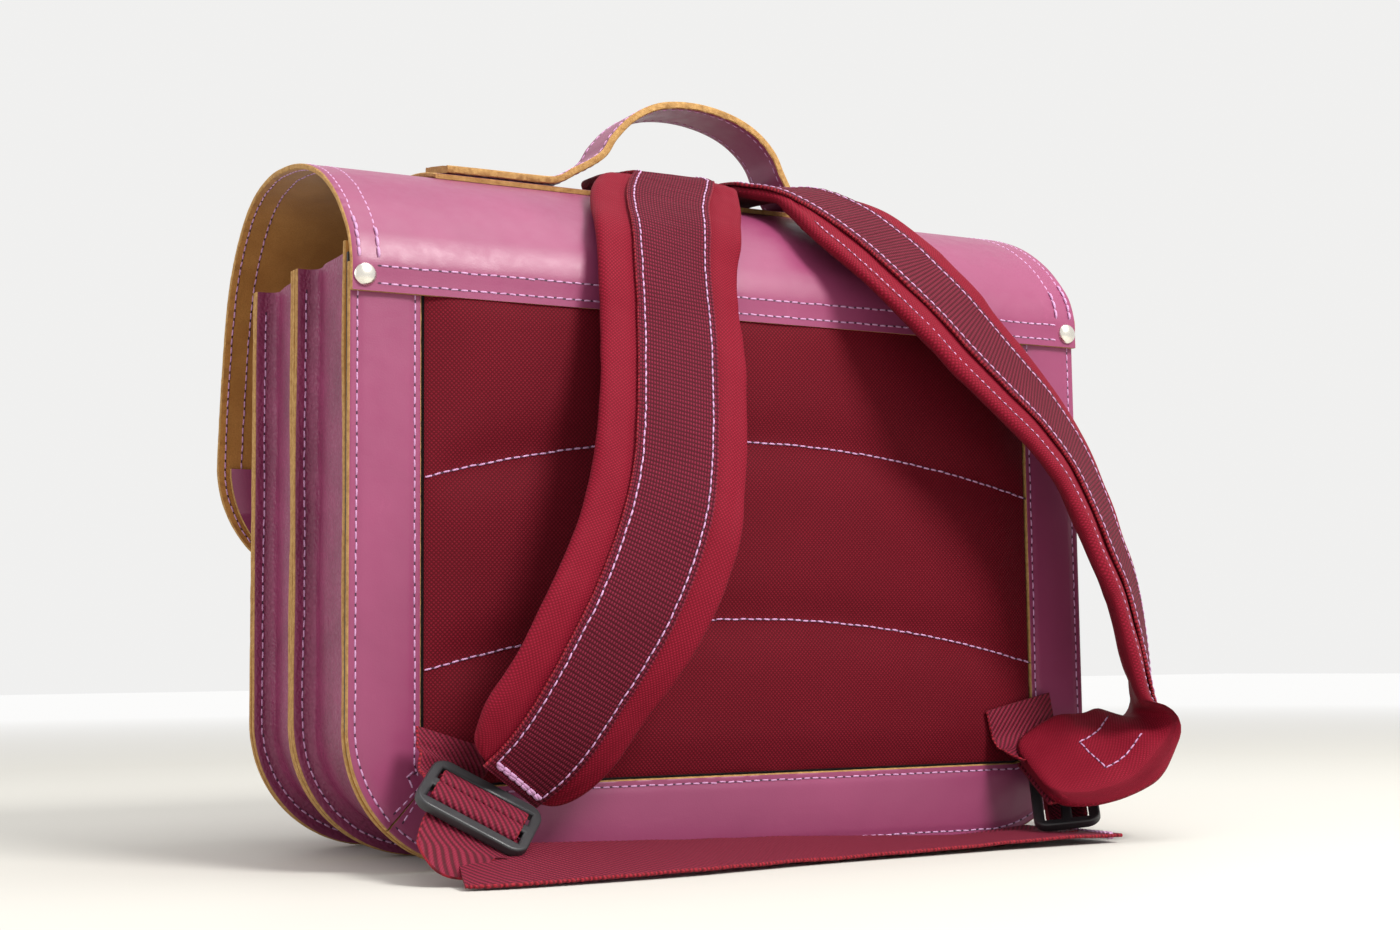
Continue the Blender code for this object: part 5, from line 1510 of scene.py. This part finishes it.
DROP = ([(0.1440, 0.1120, 0.0232), (0.1490, 0.1170, 0.0192), (0.1535, 0.1225, 0.0145),
         (0.1560, 0.1280, 0.0090), (0.1550, 0.1330, 0.0035)],
        [(0.79, -0.38, 0.48), (0.79, -0.38, 0.48), (0.80, -0.40, 0.42), (0.84, -0.36, 0.25),
         (0.90, -0.25, 0.10)])
TAIL_BENDS = {
    "right": ("root", "strap_right", (0.150, 0.13, 0.0090), (0.150, 0.10, 0.0195)),
    "left": ("root", "strap_left", (-0.120, 0.10, 0.001), (-0.146, 0.10, 0.001)),
}


def build_drop():
    """Stretch of the right tail from the lock down to its fold on the floor."""
    route, across = DROP
    stations = frames(route, across, 60)

    def half(t):
        return WEB_W / 2 * (1 - 0.78 * max((t - 0.62) / 0.38, 0.0) ** 1.3)

    piece = strip("loose_tail_drop", on_line(stations, half), spread(60), lambda t: 2 * half(t), WEB_T,
                  WEBBING_MATS, 12, fray=0.0001)
    carry(piece, TAIL_BENDS["right"])


def build_webbing():
    """Corner anchors and loose tails of ribbed webbing, with sealed, tacked ends."""
    for _, name in SIDES:
        route, across = CORNER_WEBS[name]
        stations = frames(route, across, 40)
        piece = strip("corner_strap_" + name, on_line(stations, WEB_W / 2), spread(40), WEB_W, WEB_T,
                      WEBBING_MATS, 12, fray=0.0002)
        bend = ("root", "strap_" + name, tuple(route[0]), tuple(route[-1]))
        carry(piece, bend, ("corner_webbing_" + name,))
        route, across = TAILS[name]
        stations = frames(route, across, 280, (0, 0, 1))
        total = running(route)[-1]
        at = on_line(stations, WEB_W / 2)

        def scallop(t, s, n, at=at, total=total):
            edge = min(s, WEB_W - s)
            shift = math.sin(2 * math.pi * t * total / 0.0030) * 0.0004 * bell(edge, 0.0012)
            wave = 0.0004 * noise.noise(Vector((t * total * 40, s * 50, 1.0)))
            return at(t, s + (shift if s < WEB_W / 2 else -shift), n + wave)

        tail = strip("loose_tail_" + name, scallop, spread(int(total / 0.0008)), WEB_W, WEB_T,
                     WEBBING_MATS, 14, fray=0.0001)
        carry(tail, TAIL_BENDS[name], ("tail_webbing_" + name,))
        if name == "right":
            build_drop()
        end = 1 - 0.005 / total
        lines = []
        for shift in (-0.0006, 0.0006):
            for sign in (1, -1):
                path = [(end + shift / total, s) for s in spread(14, 0.0015, WEB_W - 0.0015)]
                lines.append([(p + n * sign * (WEB_T / 2 + 0.0002), n * sign)
                              for p, n in seam(at, path, 0.0)])
        sew("tail_tack_" + name, lines, ROOT, pitch=0.0030, radius=0.0007, fill=0.95, holes=False)


# ---------------------------------------------------------------- front closures
CLOSURE_T = 0.0021
CLOSURE_ROW = 0.003
BUCKLE_R = 0.0013
BUCKLE_HALF = 0.0172
BUCKLE_CORNER = 0.0038
PRONG_R = 0.00085
TAB_T = 0.0018
TAB_INNER = 0.0016                          # radius of the tab's loop round the bar
KEEPER_WALL = 0.0014 / 2                    # half of the keeper's thickness
KEEPER_CORNER = 0.0022


def wire(name, points, radius, cyclic, body, node):
    """A bent round nickel wire."""
    obj = curve_piece(name, [points], "3D", radius, 5, cyclic, NICKEL)
    obj.data.use_fill_caps = True
    carry(obj, (body,), (node,))


def closure(side, name):
    """Strap on the flap, tip, buckle, prong, tab and keeper of one closure."""
    x = side * CLOSURE_X
    body = "closure_" + name
    half = CLOSURE_W / 2
    top = profile_t(lambda t, p: t > 0.5 and p.z < 0.2700)

    def blunt(t):
        share = (t - top) / (1 - top)
        return half * min(1.0, 0.45 + math.sqrt(max(share, 0) * 12))

    at = on_flap(0.0003 + CLOSURE_T / 2, blunt, x)
    strap = strip("closure_band_" + name, at, spread(70, top, 0.9995), lambda t: 2 * blunt(t), CLOSURE_T,
                  LEATHER_MATS, columns=12,
                  relief=lambda t, s, w: -0.0002 * bell(min(s, w - s) - CLOSURE_ROW, 0.001))
    carry(strap, ("flap",), ("closure_strap_" + name,))
    rows = edge_seams(at, lambda t: 2 * blunt(t), CLOSURE_ROW, spread(90, top + 0.012, 0.998),
                      CLOSURE_T / 2 - FINE)
    sew("closure_band_thread_" + name, rows, ("flap",))

    low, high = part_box("closure_tip_" + name)
    y = (low.y + high.y) / 2
    tall = high.z - low.z

    def tip_half(t):
        left = (1 - t) * tall
        return half if left > half else math.sqrt(max(half ** 2 - (half - left) ** 2, 0.0)) + 0.0004

    def tip_at(t, s, n):
        return Vector((x + tip_half(t) - s, y - n, high.z - t * tall))

    stops = spread(40, 0, 0.86) + [0.86 + 0.14 * math.sin(a) for a in spread(12, 0, math.pi / 2)[1:]]
    tip = strip("closure_end_" + name, tip_at, stops, lambda t: 2 * tip_half(t), CLOSURE_T, LEATHER_MATS,
                columns=12)
    carry(tip, (body,), ("closure_tip_" + name,))
    rows = edge_seams(tip_at, lambda t: 2 * tip_half(t), CLOSURE_ROW, spread(60, 0.01, 0.9),
                      CLOSURE_T / 2 - FINE)
    sew("closure_end_thread_" + name, rows, (body,))

    base = Vector((x, BAR_Y, BAR_Z))
    up = Vector((x, FREE_SIDE_Y, FREE_SIDE_Z)) - base
    height = up.length
    up = up.normalized()
    points = [base + Vector((px, 0, 0)) + up * pz
              for px, pz in rounded(0, height / 2, BUCKLE_HALF, height / 2, BUCKLE_CORNER, 8)]
    wire("buckle_" + name, points, BUCKLE_R, True, body, "buckle_frame_" + name)
    reach = Vector((0, FREE_SIDE_Y - BUCKLE_R - 0.0003 - 0.0009 - BAR_Y, FREE_SIDE_Z - BAR_Z))
    ring = [base + Vector((0, 0.0021 * math.cos(a), 0.0021 * math.sin(a))) for a in spread(20, -2.6, 1.9)]
    shaft = [base + reach * share for share in spread(8, 0.14, 1.07)]
    wire("prong_" + name, ring + shaft, PRONG_R, False, "prong_" + name, "buckle_prong_" + name)

    middle = TAB_INNER + TAB_T / 2
    line = [(-middle, -0.0135), (-middle, -0.006), (-middle, -0.001)]
    line += [(middle * math.cos(a), middle * math.sin(a)) for a in spread(10, math.pi, 0)]
    line += [(middle, -0.001), (middle, -0.02), (middle, -0.0475)]
    route = [(x, BAR_Y + py, BAR_Z + pz) for py, pz in line]
    stations = frames(route, [(1, 0, 0)] * len(route), 120, (0, -1, 0))
    wide = CLOSURE_W - 0.002
    tab_at = on_line(stations, wide / 2)
    tab = strip("tab_" + name, tab_at, spread(120), wide, TAB_T, LEATHER_MATS, columns=8)
    carry(tab, (body,), ("closure_tab_" + name,))
    total = running(route)[-1]
    rows = [seam(tab_at, [(0.0105 / total, s) for s in spread(8, 0.003, wide - 0.003)], TAB_T / 2 - 0.0001)]
    sew("tab_thread_" + name, rows, (body,))

    low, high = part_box("keeper_" + name)
    loop = rounded(x, (low.y + high.y) / 2, (high.x - low.x) / 2 - KEEPER_WALL,
                   (high.y - low.y) / 2 - KEEPER_WALL, KEEPER_CORNER, 6)
    loop.append(loop[0])
    z = (low.z + high.z) / 2
    route = [(px, py, z) for px, py in loop]
    stations = frames(route, [(0, 0, 1)] * len(route), 120, (1, 0, 0))
    tall = high.z - low.z
    keeper = strip("keeper_loop_" + name, on_line(stations, tall / 2), spread(120), tall, 2 * KEEPER_WALL,
                   LEATHER_MATS, columns=6)
    carry(keeper, (body,), ("keeper_" + name,))
    for node in ("magnet_base_" + name, "magnet_cap_" + name):
        recolour(node, NICKEL)


# ---------------------------------------------------------------- studio
CAMERA_SPOT = Vector((0.44387, 0.84129, 0.08274))
CAMERA_RIGHT = Vector((-0.8778, 0.4790, -0.0117))
CAMERA_UP = Vector((0.0365, 0.0913, 0.9952))
CAMERA_LENS = 51.46
FLOOR_REACH = 6.0
FLOOR_COLOUR = (0.60, 0.585, 0.54)
FLOOR_NEAR = 0.9                            # the floor fades into the backdrop between these distances
FLOOR_FAR = 2.6
BACKDROP = (0.875, 0.872, 0.865)


def studio_floor(colour, roughness):
    """Paper floor that fades into the backdrop further out."""
    look = Look("floor_paper", roughness, Specular_IOR_Level=0.15)
    where = look.coords("Object")
    cloud = look.noise(where, 3, 4)
    distance = look.node("ShaderNodeVectorMath", {0: where}, operation="LENGTH").outputs["Value"]
    far = look.span(distance, FLOOR_NEAR, FLOOR_FAR)
    near = look.mix(look.span(cloud, 0.3, 0.7, 0.0, 0.3), colour, tuple(c * 0.97 for c in colour))
    look.shader.inputs["Emission Color"].default_value = (*BACKDROP, 1.0)
    look.tree.links.new(far, look.shader.inputs["Emission Strength"])
    look.bump(look.noise(where, 160, 3), 0.0002, 0.2)
    return look.done(look.mix(far, near, (0.0, 0.0, 0.0)))


def area_light(name, spot, target, size, power, colour):
    light = bpy.data.lights.new(name, "AREA")
    light.shape = "DISK"
    light.size = size
    light.energy = power
    light.color = colour
    obj = place(name, light)
    obj.location = spot
    obj.rotation_euler = (Vector(target) - spot).to_track_quat("-Z", "Y").to_euler()


def build_studio():
    """Pale sweep, soft lights and the camera."""
    mesh = bpy.data.meshes.new("sweep")
    bm = bmesh.new()
    bmesh.ops.create_grid(bm, x_segments=2, y_segments=2, size=FLOOR_REACH)
    bm.to_mesh(mesh)
    bm.free()
    floor = place("floor", mesh)
    floor.location.z = min(CAD_LOW.z, 0.0) - 0.0002
    mesh.materials.append(studio_floor(FLOOR_COLOUR, 0.6))

    world = bpy.data.worlds.new("studio")
    bpy.context.scene.world = world
    world.use_nodes = True
    back = world.node_tree.nodes["Background"]
    back.inputs["Color"].default_value = (*BACKDROP, 1.0)
    back.inputs["Strength"].default_value = 1.0

    aim = (0.0, 0.0, 0.15)
    key = CAMERA_SPOT + CAMERA_RIGHT * 0.9 + Vector((0, 0, 1.25))
    area_light("key", key, aim, 0.55, 33, (1.0, 0.985, 0.96))
    area_light("top", Vector((-0.25, 0.25, 1.6)), aim, 1.2, 8, (1.0, 1.0, 1.0))
    side = CAMERA_SPOT - CAMERA_RIGHT * 1.2 + Vector((0, -0.4, 0.5))
    area_light("side", side, aim, 0.9, 4, (1.0, 1.0, 1.0))

    data = bpy.data.cameras.new("camera")
    data.lens = CAMERA_LENS
    data.sensor_width = 36.0
    camera = place("camera", data)
    view = CAMERA_RIGHT.cross(CAMERA_UP).normalized()
    turn = Matrix((CAMERA_RIGHT.normalized(), CAMERA_UP.normalized(), view)).transposed().to_4x4()
    camera.matrix_world = Matrix.Translation(CAMERA_SPOT) @ turn
    bpy.context.scene.camera = camera
    bpy.context.scene.view_settings.view_transform = "Standard"


build_studio()
build_body()
build_frame()
build_back_pad()
build_flap()
build_rivets()
build_handle()
build_strap("right", RIGHT_ROUTE, RIGHT_ACROSS, 0.0300)
build_strap("left", LEFT_ROUTE, LEFT_ACROSS, 0.0158)
build_locks()
build_webbing()
for side, name in SIDES:
    closure(side, name)
